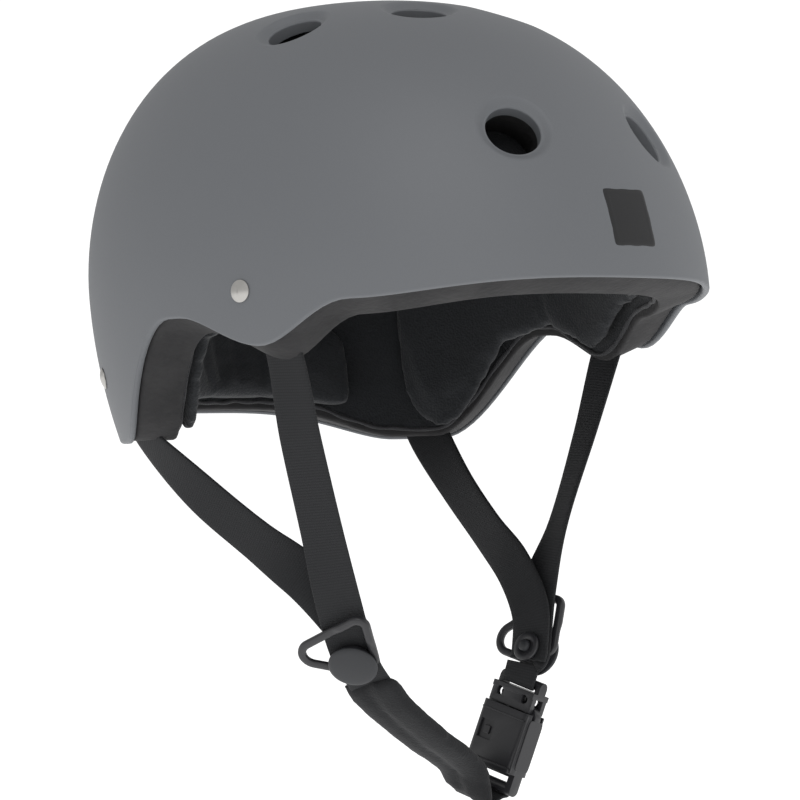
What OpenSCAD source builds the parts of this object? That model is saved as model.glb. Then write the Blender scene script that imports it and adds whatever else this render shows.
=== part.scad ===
// Skate-style water helmet: moulded shell, foam liner, comfort pads, webbing harness
// with two strap guides, and a side-release buckle on the wearer's left.
// Origin: centre of the head opening, at the height of the front rim.
// The front of the helmet faces -Y, the wearer's left is +X and up is +Z.

/* [Shell] */
// Half of the shell's width
shell_half_w = 114; // [95:1:140]
// Half of the shell's length
shell_half_l = 140; // [116:1:168]
// Height of the crown above the front rim
crown_h = 119; // [99:1:143]
// Thickness of the moulded shell
shell_t = 3; // [2.4:0.1:3.6]
// How far the crown sits behind the middle of the opening
crown_back = 12.5; // [8:0.5:16]
// Depth of the brow edge where the side tab starts
brow_drop = 6.6; // [4:0.1:9]
// Depth of the side tab's lowest point
tab_drop = 23.5; // [19:0.5:29]
// Depth of the arch over the ear
ear_drop = 11.3; // [9:0.1:14]
// Depth of the nape edge at its two corners
nape_drop = 60; // [50:1:72]
// Rise of the nape edge between its corners
nape_arch = 13; // [10.8:0.1:15.6]

/* [Vents] */
// Radius of each vent hole
vent_r = 11.5; // [9.5:0.1:13.8]
// Width of the dished rim round a vent
dish_w = 3.4; // [2.8:0.1:4.1]
// Depth of the moulded collar inside a vent
collar_depth = 8; // [6.7:0.1:9.6]

/* [Liner] */
// Thickness of the foam liner
foam_t = 18; // [15:0.5:21.6]
// How far the foam's inner edge hangs below its outer edge, from the brow to the ears
foam_hang = 7; // [5.8:0.1:8.4]
// Thickness of the side, brow and crown pads
pad_t = 6; // [5:0.1:7.2]
// Thickness of the padded nape roll
nape_pad_t = 9; // [7.5:0.1:10.8]
// Thickness of the hook patches that hold the pads
patch_t = 2; // [1.6:0.1:2.4]

/* [Harness] */
// Width of the webbing
web_w = 19; // [15.8:0.1:20]
// Thickness of the webbing
web_t = 1.4; // [1.1:0.1:1.7]
// Radius of the shell rivets' heads
rivet_head_r = 4.4; // [3.7:0.1:5.3]
// Radius of the shell rivets' shanks
rivet_shank_r = 2.2; // [1.8:0.1:2.6]
// Radius of the snap caps on the guides
cap_r = 10; // [8.4:0.1:12]
// Radius of a snap cap's stud
stud_r = 2.4; // [2:0.1:2.9]
// Thickness of a strap guide
guide_t = 2.4; // [2:0.1:2.9]
// Length of the chin pad
chin_pad_l = 74; // [62:1:78]
// Width of the chin pad
chin_pad_w = 27; // [24:0.5:32]
// Thickness of the chin pad
chin_pad_t = 9; // [7.5:0.1:10.8]

/* [Buckle] */
// Width of the socket
socket_w = 28; // [26:0.5:33]
// Thickness of the socket
socket_t = 11.6; // [11:0.1:13.9]
// Length of the socket's body
socket_l = 26; // [24:0.5:31]
// Thickness of the release arms
arm_t = 3.6; // [3:0.1:4.3]

/* [Hidden] */

// Exponents of the dome: its plan outline, its crown and its sides
plan_power = 2.04;
crown_power = 1.9;
side_power = 2.6;
// How quickly the shell tucks in below the rim, as a share at 60 mm down
tuck = 0.063;
// Places along the rim, from -1 at the brow to 1 at the nape
brow_end = -0.55;
tab_mid = -0.272;
ear_mid = 0.03;
ear_end = 0.08;
nape_start = 0.56;
nape_end = 0.7;

fit_gap = 0.3;
skin_gap = 0.6;
run_gap = 0.06;
round_fn = 48;
foam_lift = 1.6;
foam_inset = shell_t + skin_gap;
liner_inset = foam_inset + foam_t;
patch_inset = liner_inset + 1;
pad_inset = patch_inset + patch_t + skin_gap;
collar_r = vent_r + dish_w * 0.8;
collar_top = shell_t * 0.72;
foam_vent_r = collar_r + 2;

// Each vent is [angle round the dome, angle up the dome], on the wearer's right
VENTS = [[248.6, 29.1], [242.6, 69.4], [194.6, 62.2], [117.4, 69.4], [111.4, 29.1]];
// Each rivet is [angle round the dome, height], on the wearer's right
SIDE_RIVET = [193.4, -3.3];
REAR_RIVET = [142.8, -34];
rivet_head_t = 1.5;
washer_t = 0.8;
washer_r = rivet_shank_r * 2.3;
web_inset = foam_inset + web_t / 2 + 1;
rivet_depth = web_inset + web_t / 2 + washer_t + 2.4;
web_hole_r = rivet_shank_r + 0.3;

// Each guide is [middle, outward direction]; its strap runs down its own -Z
GUIDE_R = [[-55, -24, -142], [-0.62, -0.45, -0.64]];
GUIDE_L = [[57.5, -20, -141], [0.93, 0.10, -0.35]];
// Where the cap sits in a guide, as [towards the rear, up]
cap_at = [-4, -10.5];
layer_gap = 0.4;
front_layer = guide_t / 2 + layer_gap + web_t / 2;
rear_layer = front_layer + web_t + layer_gap;
back_layer = rear_layer + web_t / 2 + layer_gap + 0.6;
back_r = cap_r * 0.62;
back_t = 1.6;
cap_t = 3.2;
cap_travel = 3;

// The buckle: middle of the socket's mouth, direction the socket pulls off, and width direction
MOUTH = [47.8, -18, -174.5];
PULL = unit([-0.24, 0.23, -0.94]);
mate_depth = 8;
// The line that the chin strap swings about: on the webbing below the right guide's cap, level
// with the depth that the plug reaches, so that the socket leaves the plug straight
BEHIND_CAP = guide_pt(GUIDE_R, -front_layer - 2.5, -9.5, 0);
SWING = BEHIND_CAP + guide_up(GUIDE_R)
        * (((MOUTH + PULL * mate_depth - BEHIND_CAP) * PULL) / (guide_up(GUIDE_R) * PULL));
lobe_r = 4.6;
arm_pivot = [7.2, 5.2];
knuckle_r = 1.6;
cavity_t = arm_t + 3;
cavity_w = socket_w - 6.4;
cavity_l = socket_l - 5;
bar_r = 2;
end_bar_r = 2.5;
bar_drop = socket_l + end_bar_r + web_t + 2.4;
plug_bar_rise = 12;
chin_pad_start = 3;
plug_w = socket_w - 4;
housing_t = 2.2;
tongue_l = 14;

function unit(v) = v / norm(v);
function side(v, right) = right ? v : [-v[0], v[1], v[2]];
function smooth(t) = let (c = min(1, max(0, t))) c * c * (3 - 2 * c);
function blend(a, b, t) = a + (b - a) * t;

// ---- the dome ----

// Height of the rim at s, from -1 at the brow to 1 at the nape
function rim_z(s) =
    - brow_drop * smooth((s + 1) / (brow_end + 1))
    - (tab_drop - brow_drop) * smooth((s - brow_end) / (tab_mid - brow_end))
    + (tab_drop - ear_drop) * smooth((s - tab_mid) / (ear_mid - tab_mid))
    - (nape_drop - ear_drop) * smooth((s - ear_end) / (nape_start - ear_end))
    + nape_arch * smooth((s - nape_end) / (1 - nape_end));

function plan(a) =
    pow(pow(abs(cos(a)), plan_power) + pow(abs(sin(a)), plan_power), -1 / plan_power);

function taper(z, top) =
    z >= 0 ? pow(max(0, 1 - pow(z / top, crown_power)), 1 / side_power) : 1 - tuck * pow(z / 60, 2);

// Point on the dome at angle a and height z, set in from the outer surface
function dome(a, z, inset) =
    let (top = crown_h - inset, k = plan(a) * taper(z, top))
    [(shell_half_w - inset) * k * cos(a),
     (shell_half_l - inset) * k * sin(a) + crown_back * z / top,
     z];

function rim_at(a) = rim_z(plan(a) * sin(a));

function dome_side(a, z) = unit(dome(a + 1, z, 0) - dome(a - 1, z, 0));

function dome_out(a, z) =
    unit(cross(dome(a + 1, z, 0) - dome(a - 1, z, 0), dome(a, z + 0.5, 0) - dome(a, z - 0.5, 0)));

// Turns what it is given so that +Z points along direction d, and moves it to p
module aim(p, d) {
    translate(p)
        rotate([0, acos(d[2] / norm(d)), atan2(d[1], d[0])])
            children();
}

// Share of the foam's hang at angle a: whole in front of the ears, none behind them
function hang_at(a) = 1 - smooth((plan(a) * sin(a) - ear_end) / (nape_start - ear_end));

// Closed bowl between two insets of the dome, up to the crown from a lift above the rim,
// or from a level edge at height edge_z; its inner edge may hang lower than its outer edge
module bowl(inset_out, inset_in, lift, cols, rows, hang = 0, edge_z = undef) {
    function layer(inset, drop) = [
        for (r = [0 : rows - 1])
            for (c = [0 : cols - 1])
                let (a = 360 * c / cols,
                     top = crown_h - inset,
                     edge = is_undef(edge_z) ? rim_at(a) + lift - drop * hang_at(a) : edge_z,
                     low = asin(edge / top))
                dome(a, top * sin(low + (90 - low) * r / rows), inset)];
    n = rows * cols;
    crown_out = 2 * n;
    crown_in = 2 * n + 1;
    points = concat(layer(inset_out, 0), layer(inset_in, hang),
                    [[0, crown_back, crown_h - inset_out], [0, crown_back, crown_h - inset_in]]);
    function at(k, r, c) = k * n + r * cols + c % cols;
    faces = [
        for (c = [0 : cols - 1])
            each concat(
                [for (r = [0 : rows - 2])
                    each [[at(0, r, c), at(0, r + 1, c), at(0, r, c + 1)],
                          [at(0, r, c + 1), at(0, r + 1, c), at(0, r + 1, c + 1)],
                          [at(1, r, c), at(1, r, c + 1), at(1, r + 1, c)],
                          [at(1, r, c + 1), at(1, r + 1, c + 1), at(1, r + 1, c)]]],
                [[at(0, rows - 1, c), crown_out, at(0, rows - 1, c + 1)],
                 [at(1, rows - 1, c), at(1, rows - 1, c + 1), crown_in],
                 [at(0, 0, c), at(0, 0, c + 1), at(1, 0, c)],
                 [at(0, 0, c + 1), at(1, 0, c + 1), at(1, 0, c)]])];
    polyhedron(points, faces);
}

// Closed slab between two grids of points with the same rows and columns
module slab(outer, inner) {
    rows = len(outer);
    cols = len(outer[0]);
    n = rows * cols;
    points = concat([for (row = outer) each row], [for (row = inner) each row]);
    function at(k, r, c) = k * n + r * cols + c;
    faces = concat(
        [for (r = [0 : rows - 2])
            for (c = [0 : cols - 2])
                each [[at(0, r, c), at(0, r + 1, c), at(0, r, c + 1)],
                      [at(0, r, c + 1), at(0, r + 1, c), at(0, r + 1, c + 1)],
                      [at(1, r, c), at(1, r, c + 1), at(1, r + 1, c)],
                      [at(1, r, c + 1), at(1, r + 1, c + 1), at(1, r + 1, c)]]],
        [for (c = [0 : cols - 2])
            each [[at(0, 0, c), at(0, 0, c + 1), at(1, 0, c)],
                  [at(0, 0, c + 1), at(1, 0, c + 1), at(1, 0, c)],
                  [at(0, rows - 1, c), at(1, rows - 1, c), at(0, rows - 1, c + 1)],
                  [at(0, rows - 1, c + 1), at(1, rows - 1, c), at(1, rows - 1, c + 1)]]],
        [for (r = [0 : rows - 2])
            each [[at(0, r, 0), at(1, r, 0), at(0, r + 1, 0)],
                  [at(0, r + 1, 0), at(1, r, 0), at(1, r + 1, 0)],
                  [at(0, r, cols - 1), at(0, r + 1, cols - 1), at(1, r, cols - 1)],
                  [at(0, r + 1, cols - 1), at(1, r + 1, cols - 1), at(1, r, cols - 1)]]]);
    polyhedron(points, faces);
}

// Slab that follows the dome from angle a0 to a1, from a lift above the rim up to height z1
module dome_slab(a0, a1, lift, z1, inset_out, inset_in, cols, rows) {
    function grid(inset) = [
        for (r = [0 : rows])
            [for (c = [0 : cols])
                let (a = blend(a0, a1, c / cols))
                dome(a, blend(rim_at(a) + lift, z1, r / rows), inset)]];
    slab(grid(inset_out), grid(inset_in));
}

module both_sides() {
    children();
    mirror([1, 0, 0])
        children();
}

module at_vents() {
    for (v = VENTS) {
        z = crown_h * sin(v[1]);
        aim(dome(v[0], z, 0), dome_out(v[0], z))
            children();
    }
}

module at_rivets() {
    for (r = [SIDE_RIVET, REAR_RIVET])
        aim(dome(r[0], r[1], 0), dome_out(r[0], r[1]))
            children();
}

// ---- webbing ----

// Smooth curve through points, with a few steps from each to the next
function through(p, steps) = concat(
    [for (i = [0 : len(p) - 2])
        for (k = [0 : steps - 1])
            let (t = k / steps,
                 a = p[max(0, i - 1)],
                 b = p[i],
                 c = p[i + 1],
                 d = p[min(len(p) - 1, i + 2)])
            0.5 * (2 * b + (c - a) * t + (2 * a - 5 * b + 4 * c - d) * t * t
                   + (3 * b - a - 3 * c + d) * t * t * t)],
    [p[len(p) - 1]]);

// Flat band along a path; across[i] is about the direction of its width at path[i]
module ribbon(path, across, w, t) {
    last = len(path) - 1;
    function run(i) = unit(path[min(last, i + 1)] - path[max(0, i - 1)]);
    function wide(i) = let (r = run(i), a = across[i]) unit(a - r * (a * r));
    function edge(i, k) = path[i] + wide(i) * w * k / 2;
    function face(i) = cross(run(i), wide(i)) * t / 2;
    grid_a = [for (i = [0 : last]) [for (k = [-1, 0, 1]) edge(i, k) + face(i)]];
    grid_b = [for (i = [0 : last]) [for (k = [-1, 0, 1]) edge(i, k) - face(i)]];
    slab(grid_b, grid_a);
}

// A guide's own axes: X outward, Y to the rear, Z up its face
function guide_rear(g) = unit([-g[1][1], g[1][0], 0] * (g[1][0] < 0 ? -1 : 1));
function guide_up(g) = let (u = unit(cross(g[1], guide_rear(g)))) u[2] < 0 ? -u : u;
function guide_pt(g, out, back, up) =
    g[0] + unit(g[1]) * out + guide_rear(g) * back + guide_up(g) * up;

module in_guide(g) {
    x = unit(g[1]);
    y = guide_rear(g);
    z = guide_up(g);
    multmatrix([[x[0], y[0], z[0], g[0][0]],
                [x[1], y[1], z[1], g[0][1]],
                [x[2], y[2], z[2], g[0][2]],
                [0, 0, 0, 1]])
        children();
}

// Path of a front strap: rivet, slot through the foam, then straight down to its guide
function front_path(right) =
    let (g = right ? GUIDE_R : GUIDE_L,
         a = SIDE_RIVET[0],
         z = SIDE_RIVET[1],
         exit = dome(a + 1.5, -tab_drop - 1, liner_inset - web_t * 2),
         top = guide_pt(g, -front_layer - (right ? 3 : 0.8), -1, 16))
    through([dome(a, z + 9, web_inset),
             dome(a, z, web_inset),
             dome(a, z - 8, web_inset + 3.4),
             exit,
             blend(exit, side(top, right), 0.35) + [-1, 0, 0],
             blend(exit, side(top, right), 0.72) + [-0.5, 0, 0],
             side(top, right),
             side(guide_pt(g, -front_layer, cap_at[0], cap_at[1]), right),
             right ? SWING - unit(CHIN_RUN) * 1.9
                   : side(guide_pt(g, -front_layer, cap_at[0], cap_at[1] - 4.2), false)], 3);

function front_across(right) =
    let (w = dome_side(SIDE_RIVET[0], SIDE_RIVET[1]))
    through([w, w, w, [0.1, -1, 0], [0.3, -1, 0], [0.4, -1, 0],
             side(-guide_rear(right ? GUIDE_R : GUIDE_L), right),
             side(-guide_rear(right ? GUIDE_R : GUIDE_L), right),
             side(-guide_rear(right ? GUIDE_R : GUIDE_L), right)], 3);

// Path of a rear strap: rivet, out under the nape edge, then forward to its guide
function rear_path(right) =
    let (g = right ? GUIDE_R : GUIDE_L,
         a = REAR_RIVET[0],
         z = REAR_RIVET[1],
         exit = dome(a + 1, -nape_drop + 2, web_inset + 4),
         top = guide_pt(g, -rear_layer - (right ? 5 : 4), 1, 17))
    through([dome(a, z + 9, web_inset),
             dome(a, z, web_inset),
             dome(a, z - 12, web_inset + 2),
             exit,
             blend(exit, side(top, right), 0.3) + [0, 0, -4],
             blend(exit, side(top, right), 0.62) + [0, 0, -4],
             blend(exit, side(top, right), 0.86) + [0, 0, -3],
             side(guide_pt(g, -rear_layer - (right ? 2 : 1.6), -1, 6), right),
             side(guide_pt(g, -rear_layer, cap_at[0], cap_at[1]), right),
             side(guide_pt(g, -rear_layer, cap_at[0], cap_at[1] - 5), right)], 3);

function rear_across(right) =
    let (e = side(-guide_rear(right ? GUIDE_R : GUIDE_L), right),
         w = dome_side(REAR_RIVET[0], REAR_RIVET[1]))
    through([w, w, w + [0, 0, 0.1], w + [0.1, 0, 0.4],
             [-0.1, -0.6, 0.8], [0, -0.6, 0.8], e + [0, 0, 0.5], e, e, e], 3);

module strap_holes(right, rivet, layer) {
    g = right ? GUIDE_R : GUIDE_L;
    mirror([right ? 0 : 1, 0, 0])
        aim(dome(rivet[0], rivet[1], 0), dome_out(rivet[0], rivet[1]))
            cylinder(h = 30, r = web_hole_r, center = true, $fn = round_fn);
    in_guide(g)
        translate([-layer, cap_at[0], cap_at[1]])
            rotate([0, 90, 0])
                cylinder(h = web_t * 6, r = stud_r + 0.4, center = true, $fn = round_fn);
}

module front_strap(right) {
    color([0.17, 0.18, 0.2])
        difference() {
            mirror([right ? 0 : 1, 0, 0])
                ribbon(front_path(right), front_across(right), web_w, web_t);
            strap_holes(right, SIDE_RIVET, front_layer);
        }
}

module rear_strap(right) {
    color([0.17, 0.18, 0.2])
        difference() {
            mirror([right ? 0 : 1, 0, 0])
                ribbon(rear_path(right), rear_across(right), web_w, web_t);
            strap_holes(right, REAR_RIVET, rear_layer);
        }
}

// ---- shell, liner and pads ----

module outer_shell() {
    color([0.4, 0.41, 0.43])
        difference() {
            union() {
                bowl(0, shell_t, 0, 96, 10);
                both_sides()
                    at_vents()
                        translate([0, 0, -collar_depth])
                            cylinder(h = collar_depth - collar_top, r = collar_r, $fn = round_fn);
            }
            both_sides()
                at_vents() {
                    cylinder(h = 2 * collar_depth + 4, r = vent_r, center = true, $fn = round_fn);
                    translate([0, 0, -dish_w * 0.9])
                        cylinder(h = dish_w * 1.8, r1 = vent_r, r2 = vent_r + 2 * dish_w,
                                 $fn = round_fn);
                }
            both_sides()
                at_rivets()
                    cylinder(h = 16, r = rivet_shank_r + run_gap, center = true, $fn = round_fn);
        }
}

module foam_liner() {
    color([0.2, 0.2, 0.2])
        difference() {
            bowl(foam_inset, liner_inset, foam_lift, 96, 10, foam_hang);
            both_sides()
                at_vents()
                    translate([0, 0, -foam_t * 1.7])
                        cylinder(h = foam_t * 1.8, r = foam_vent_r, $fn = round_fn);
            both_sides()
                at_rivets()
                    translate([0, 0, -rivet_depth - 1])
                        cylinder(h = rivet_depth + 2, r = washer_r + 1, $fn = round_fn);
            both_sides() {
                ribbon(front_path(true), front_across(true), web_w + 2, web_t + 1.4);
                ribbon(rear_path(true), rear_across(true), web_w + 2, web_t + 1.4);
            }
        }
}

module brow_pad() {
    color([0.12, 0.13, 0.15])
        dome_slab(232, 308, -foam_hang, 30, pad_inset, pad_inset + pad_t, 16, 3);
}

module rear_pad() {
    color([0.12, 0.13, 0.15])
        dome_slab(52, 128, 3, -8, pad_inset, pad_inset + nape_pad_t, 16, 3);
}

module side_pad(right) {
    color([0.12, 0.13, 0.15])
        mirror([right ? 0 : 1, 0, 0])
            dome_slab(138, 226, 4 - foam_hang, 42, pad_inset, pad_inset + pad_t, 18, 4);
}

module crown_pad() {
    color([0.12, 0.13, 0.15])
        bowl(pad_inset, pad_inset + pad_t, 0, 24, 4, edge_z = (crown_h - pad_inset - pad_t) * 0.975);
}

module hook_patches() {
    color([0.08, 0.08, 0.09]) {
        for (a = [246, 294, 62, 118])
            dome_slab(a - 5, a + 5, a > 180 ? 9 : 12, a > 180 ? 26 : -22,
                      patch_inset, patch_inset + patch_t, 4, 3);
        both_sides()
            for (a = [150, 178, 210])
                dome_slab(a - 5, a + 5, abs(rim_at(a)) + 12, 36,
                          patch_inset, patch_inset + patch_t, 4, 3);
    }
}

module shell_rivets() {
    color([0.78, 0.76, 0.74])
        both_sides()
            at_rivets() {
                translate([0, 0, -rivet_depth])
                    cylinder(h = rivet_depth + 0.4, r = rivet_shank_r, $fn = round_fn);
                translate([0, 0, 0.15])
                    intersection() {
                        cylinder(h = rivet_head_t, r = rivet_head_r, $fn = round_fn);
                        translate([0, 0, rivet_head_t - rivet_head_r * 2])
                            sphere(r = rivet_head_r * 2, $fn = round_fn);
                    }
            }
}

module rivet_washers() {
    color([0.7, 0.7, 0.7])
        both_sides()
            at_rivets()
                translate([0, 0, -rivet_depth + fit_gap])
                    difference() {
                        cylinder(h = washer_t, r = washer_r, $fn = round_fn);
                        cylinder(h = 9, r = rivet_shank_r + run_gap, center = true, $fn = round_fn);
                    }
}

// ---- guides ----

// Rounded triangle of a guide, drawn as [towards the rear, up]
module guide_outline(shrink) {
    hull() {
        translate([10.5, -5.5])
            circle(r = 7.5 - shrink, $fn = 32);
        translate([-8.5, 9])
            circle(r = 5.2 - shrink, $fn = 32);
        translate([-9.5, -8])
            circle(r = 5.2 - shrink, $fn = 32);
        translate(cap_at)
            circle(r = 6.5 - shrink, $fn = 32);
    }
}

module strap_guide(g) {
    color([0.16, 0.16, 0.18])
        in_guide(g)
            rotate([90, 0, 90])
                translate([0, 0, -guide_t / 2])
                    difference() {
                        union() {
                            linear_extrude(guide_t)
                                difference() {
                                    guide_outline(0);
                                    guide_outline(3.2);
                                }
                            translate([cap_at[0], cap_at[1], 0])
                                cylinder(h = guide_t, r = cap_r * 0.82, $fn = round_fn);
                        }
                        translate([cap_at[0], cap_at[1], -1])
                            cylinder(h = guide_t + 2, r = stud_r + run_gap, $fn = round_fn);
                    }
}

module guide_cap(g) {
    crown = cap_r * 2.2;
    color([0.27, 0.28, 0.3])
        in_guide(g)
            translate([guide_t / 2 + layer_gap, cap_at[0], cap_at[1]])
                rotate([0, 90, 0]) {
                    intersection() {
                        cylinder(h = cap_t, r = cap_r, $fn = 64);
                        translate([0, 0, cap_t - crown])
                            sphere(r = crown, $fn = 96);
                    }
                    translate([0, 0, -back_layer - back_t - guide_t / 2 - layer_gap - cap_travel])
                        cylinder(h = back_layer + back_t + guide_t / 2 + layer_gap + cap_travel + 1,
                                 r = stud_r, $fn = round_fn);
                }
}

module cap_backs() {
    color([0.16, 0.16, 0.18])
        for (g = [GUIDE_R, GUIDE_L])
            in_guide(g)
                translate([-back_layer - back_t, cap_at[0], cap_at[1]])
                    rotate([0, 90, 0])
                        difference() {
                            cylinder(h = back_t, r = back_r, $fn = round_fn);
                            translate([0, 0, -1])
                                cylinder(h = back_t + 2, r = stud_r + run_gap, $fn = round_fn);
                        }
}

// ---- buckle ----

ACROSS = unit([0, -PULL[2], PULL[1]]);
OUTWARD = cross(ACROSS, -PULL);

// The buckle's own axes: X outward, Y to the rear, Z up out of the mouth
module in_buckle() {
    multmatrix([[OUTWARD[0], ACROSS[0], -PULL[0], MOUTH[0]],
                [OUTWARD[1], ACROSS[1], -PULL[1], MOUTH[1]],
                [OUTWARD[2], ACROSS[2], -PULL[2], MOUTH[2]],
                [0, 0, 0, 1]])
        children();
}

function buckle_pt(x, y, z) = MOUTH + OUTWARD * x + ACROSS * y - PULL * z;

// Rectangle with round corners, exact
module round_rect(w, h, r) {
    square([w - 2 * r, h], center = true);
    square([w, h - 2 * r], center = true);
    for (x = [-1, 1])
        for (y = [-1, 1])
            translate([x * (w / 2 - r), y * (h / 2 - r)])
                circle(r = r, $fn = 32);
}

module block(x, y, z0, z1) {
    translate([-x / 2, -y / 2, z0])
        cube([x, y, z1 - z0]);
}

module cross_bar(r, l, z) {
    translate([0, 0, z])
        rotate([90, 0, 0])
            cylinder(h = l, r = r, center = true, $fn = round_fn);
}

module buckle_socket() {
    color([0.15, 0.15, 0.17])
        in_buckle()
            difference() {
                union() {
                    translate([0, 0, -socket_l])
                        linear_extrude(socket_l)
                            round_rect(socket_t, socket_w, 3);
                    for (y = [-1, 1])
                        translate([0, y * (socket_w / 2 - 1.6), 0])
                            block(5, 3.2, -bar_drop, -socket_l + 1);
                    cross_bar(end_bar_r, socket_w, -bar_drop);
                }
                block(cavity_t, cavity_w, -cavity_l, 1);
                block(cavity_t, socket_w + 2, -lobe_r * 2, 1);
                translate([-socket_t / 2, socket_w * 0.24, -12])
                    cube([2, 8, 8], center = true);
            }
}

module buckle_plug() {
    color([0.15, 0.15, 0.17])
        in_buckle()
            difference() {
                union() {
                    block(socket_t - 2, plug_w, 6.4, 8.8);
                    block(6, 8, 0.4, 7);
                    for (x = [-1, 1])
                        translate([x * (arm_t / 2 + 0.3 + housing_t / 2), 0, 0])
                            block(housing_t, plug_w, 0.4, 7);
                    block(arm_t - 0.6, 5, -tongue_l, 1);
                    for (y = [-1, 1])
                        translate([0, y * (plug_w / 2 - 1.3), 0])
                            block(4.4, 2.6, 8, plug_bar_rise);
                    cross_bar(bar_r, plug_w, plug_bar_rise);
                }
                for (y = [-1, 1])
                    translate([0, y * arm_pivot[0], arm_pivot[1]])
                        rotate([0, 90, 0])
                            cylinder(h = 20, r = knuckle_r + 0.25, center = true, $fn = round_fn);
            }
}

// Release arm on the +Y side of the plug
module release_arm() {
    reach = cavity_w / 2 - 0.6;
    rotate([0, 90, 0])
        linear_extrude(arm_t, center = true) {
            translate([-arm_pivot[1], arm_pivot[0]])
                circle(r = knuckle_r, $fn = round_fn);
            translate([-arm_pivot[1] + 0.6, arm_pivot[0] - 1.3])
                square([arm_pivot[1] + 14, 2.6]);
            translate([1.6, reach - 0.4])
                circle(r = lobe_r, $fn = round_fn);
            translate([10.6, arm_pivot[0]])
                square([4, reach - arm_pivot[0]]);
        }
}

module release_arm_rear() {
    color([0.15, 0.15, 0.17])
        in_buckle()
            difference() {
                release_arm();
                block(20, 9.4, -20, 10);
            }
}

module release_arm_front() {
    color([0.15, 0.15, 0.17])
        in_buckle()
            mirror([0, 1, 0])
                difference() {
                    release_arm();
                    block(20, 9.4, -20, 10);
                }
}

// Short band from the left guide, behind its cap, down and round the plug's bar
module buckle_strap() {
    g = GUIDE_L;
    e = guide_rear(g);
    start = guide_pt(g, -front_layer, cap_at[0] + 3, cap_at[1] - 7);
    color([0.17, 0.18, 0.2])
        ribbon(through([start,
                        blend(start, buckle_pt(-3.2, 0, plug_bar_rise + 1), 0.5),
                        buckle_pt(-3.2, 0, plug_bar_rise),
                        buckle_pt(-2.6, 0, plug_bar_rise - 2.2)], 3),
               through([e, blend(e, ACROSS, 0.5), ACROSS, ACROSS], 3), web_w - 1, web_t);
}

// ---- chin strap ----

END_BAR = buckle_pt(0, 0, -bar_drop);
wrap_r = end_bar_r + web_t / 2 + 0.9;
CHIN_RUN = [7.5, 0.6, -6.6];
CHIN_PATH = through([SWING,
                     SWING + CHIN_RUN,
                     [-1.9, -16, -183.5],
                     [20, -13, -196.5],
                     END_BAR + [-9, -0.4, 0] + PULL * (wrap_r + 1.6),
                     END_BAR + PULL * wrap_r,
                     END_BAR + unit(PULL + OUTWARD) * wrap_r,
                     END_BAR + OUTWARD * wrap_r], 4);
CHIN_ACROSS = through([ACROSS + [-0.4, 0, -0.2], [-0.3, 1, 0], [-0.1, 1, -0.1], [-0.1, 1, 0],
                       ACROSS, ACROSS, ACROSS, ACROSS], 4);

module chin_strap() {
    color([0.17, 0.18, 0.2])
        ribbon(CHIN_PATH, CHIN_ACROSS, web_w, web_t);
}

// Distance along a path at each of its points
function measured(path) = [
    for (i = 0, d = 0; i < len(path); d = d + (i < len(path) - 1 ? norm(path[i + 1] - path[i]) : 0),
         i = i + 1) d];

// Value of a list of points at a distance along a path
function at_distance(path, values, d) =
    let (m = measured(path),
         i = max([for (k = [0 : len(path) - 2]) m[k] <= d ? k : 0]),
         t = (d - m[i]) / (m[i + 1] - m[i]))
    blend(values[i], values[i + 1], t);

PAD_SPOTS = [for (k = [0 : 14]) chin_pad_start + chin_pad_l * k / 14];
PAD_PATH = [for (d = PAD_SPOTS) at_distance(CHIN_PATH, CHIN_PATH, d)];
PAD_ACROSS = [for (d = PAD_SPOTS) at_distance(CHIN_PATH, CHIN_ACROSS, d)];

// Padded sleeve that the webbing runs through
module chin_pad() {
    color([0.12, 0.13, 0.15])
        difference() {
            ribbon(PAD_PATH, PAD_ACROSS, chin_pad_w, chin_pad_t);
            ribbon(CHIN_PATH, CHIN_ACROSS, web_w + 2 * fit_gap, web_t + 2 * fit_gap);
        }
}

outer_shell();
foam_liner();
brow_pad();
rear_pad();
side_pad(false);  // side_pad_left
side_pad(true);  // side_pad_right
crown_pad();
hook_patches();
shell_rivets();
rivet_washers();
front_strap(false);  // front_strap_left
front_strap(true);  // front_strap_right
rear_strap(false);  // rear_strap_left
rear_strap(true);  // rear_strap_right
strap_guide(GUIDE_L);  // strap_guide_left
strap_guide(GUIDE_R);  // strap_guide_right
guide_cap(GUIDE_L);  // guide_cap_left
guide_cap(GUIDE_R);  // guide_cap_right
cap_backs();
buckle_strap();
buckle_plug();
release_arm_front();
release_arm_rear();
buckle_socket();
chin_strap();
chin_pad();
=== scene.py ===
# %% [markdown]
# # A water helmet, dressed over its frame
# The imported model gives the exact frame: bodies, joints and the places of every piece.
# This lesson covers that frame with smooth surfaces and real materials. Lengths in the shape
# functions are in millimetres, as a maker would write them, and turn to metres in one place.

# %% Load the frame
import bpy
import bmesh
import numpy as np
from mathutils import Matrix, Vector
from mathutils.geometry import delaunay_2d_cdt


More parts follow.
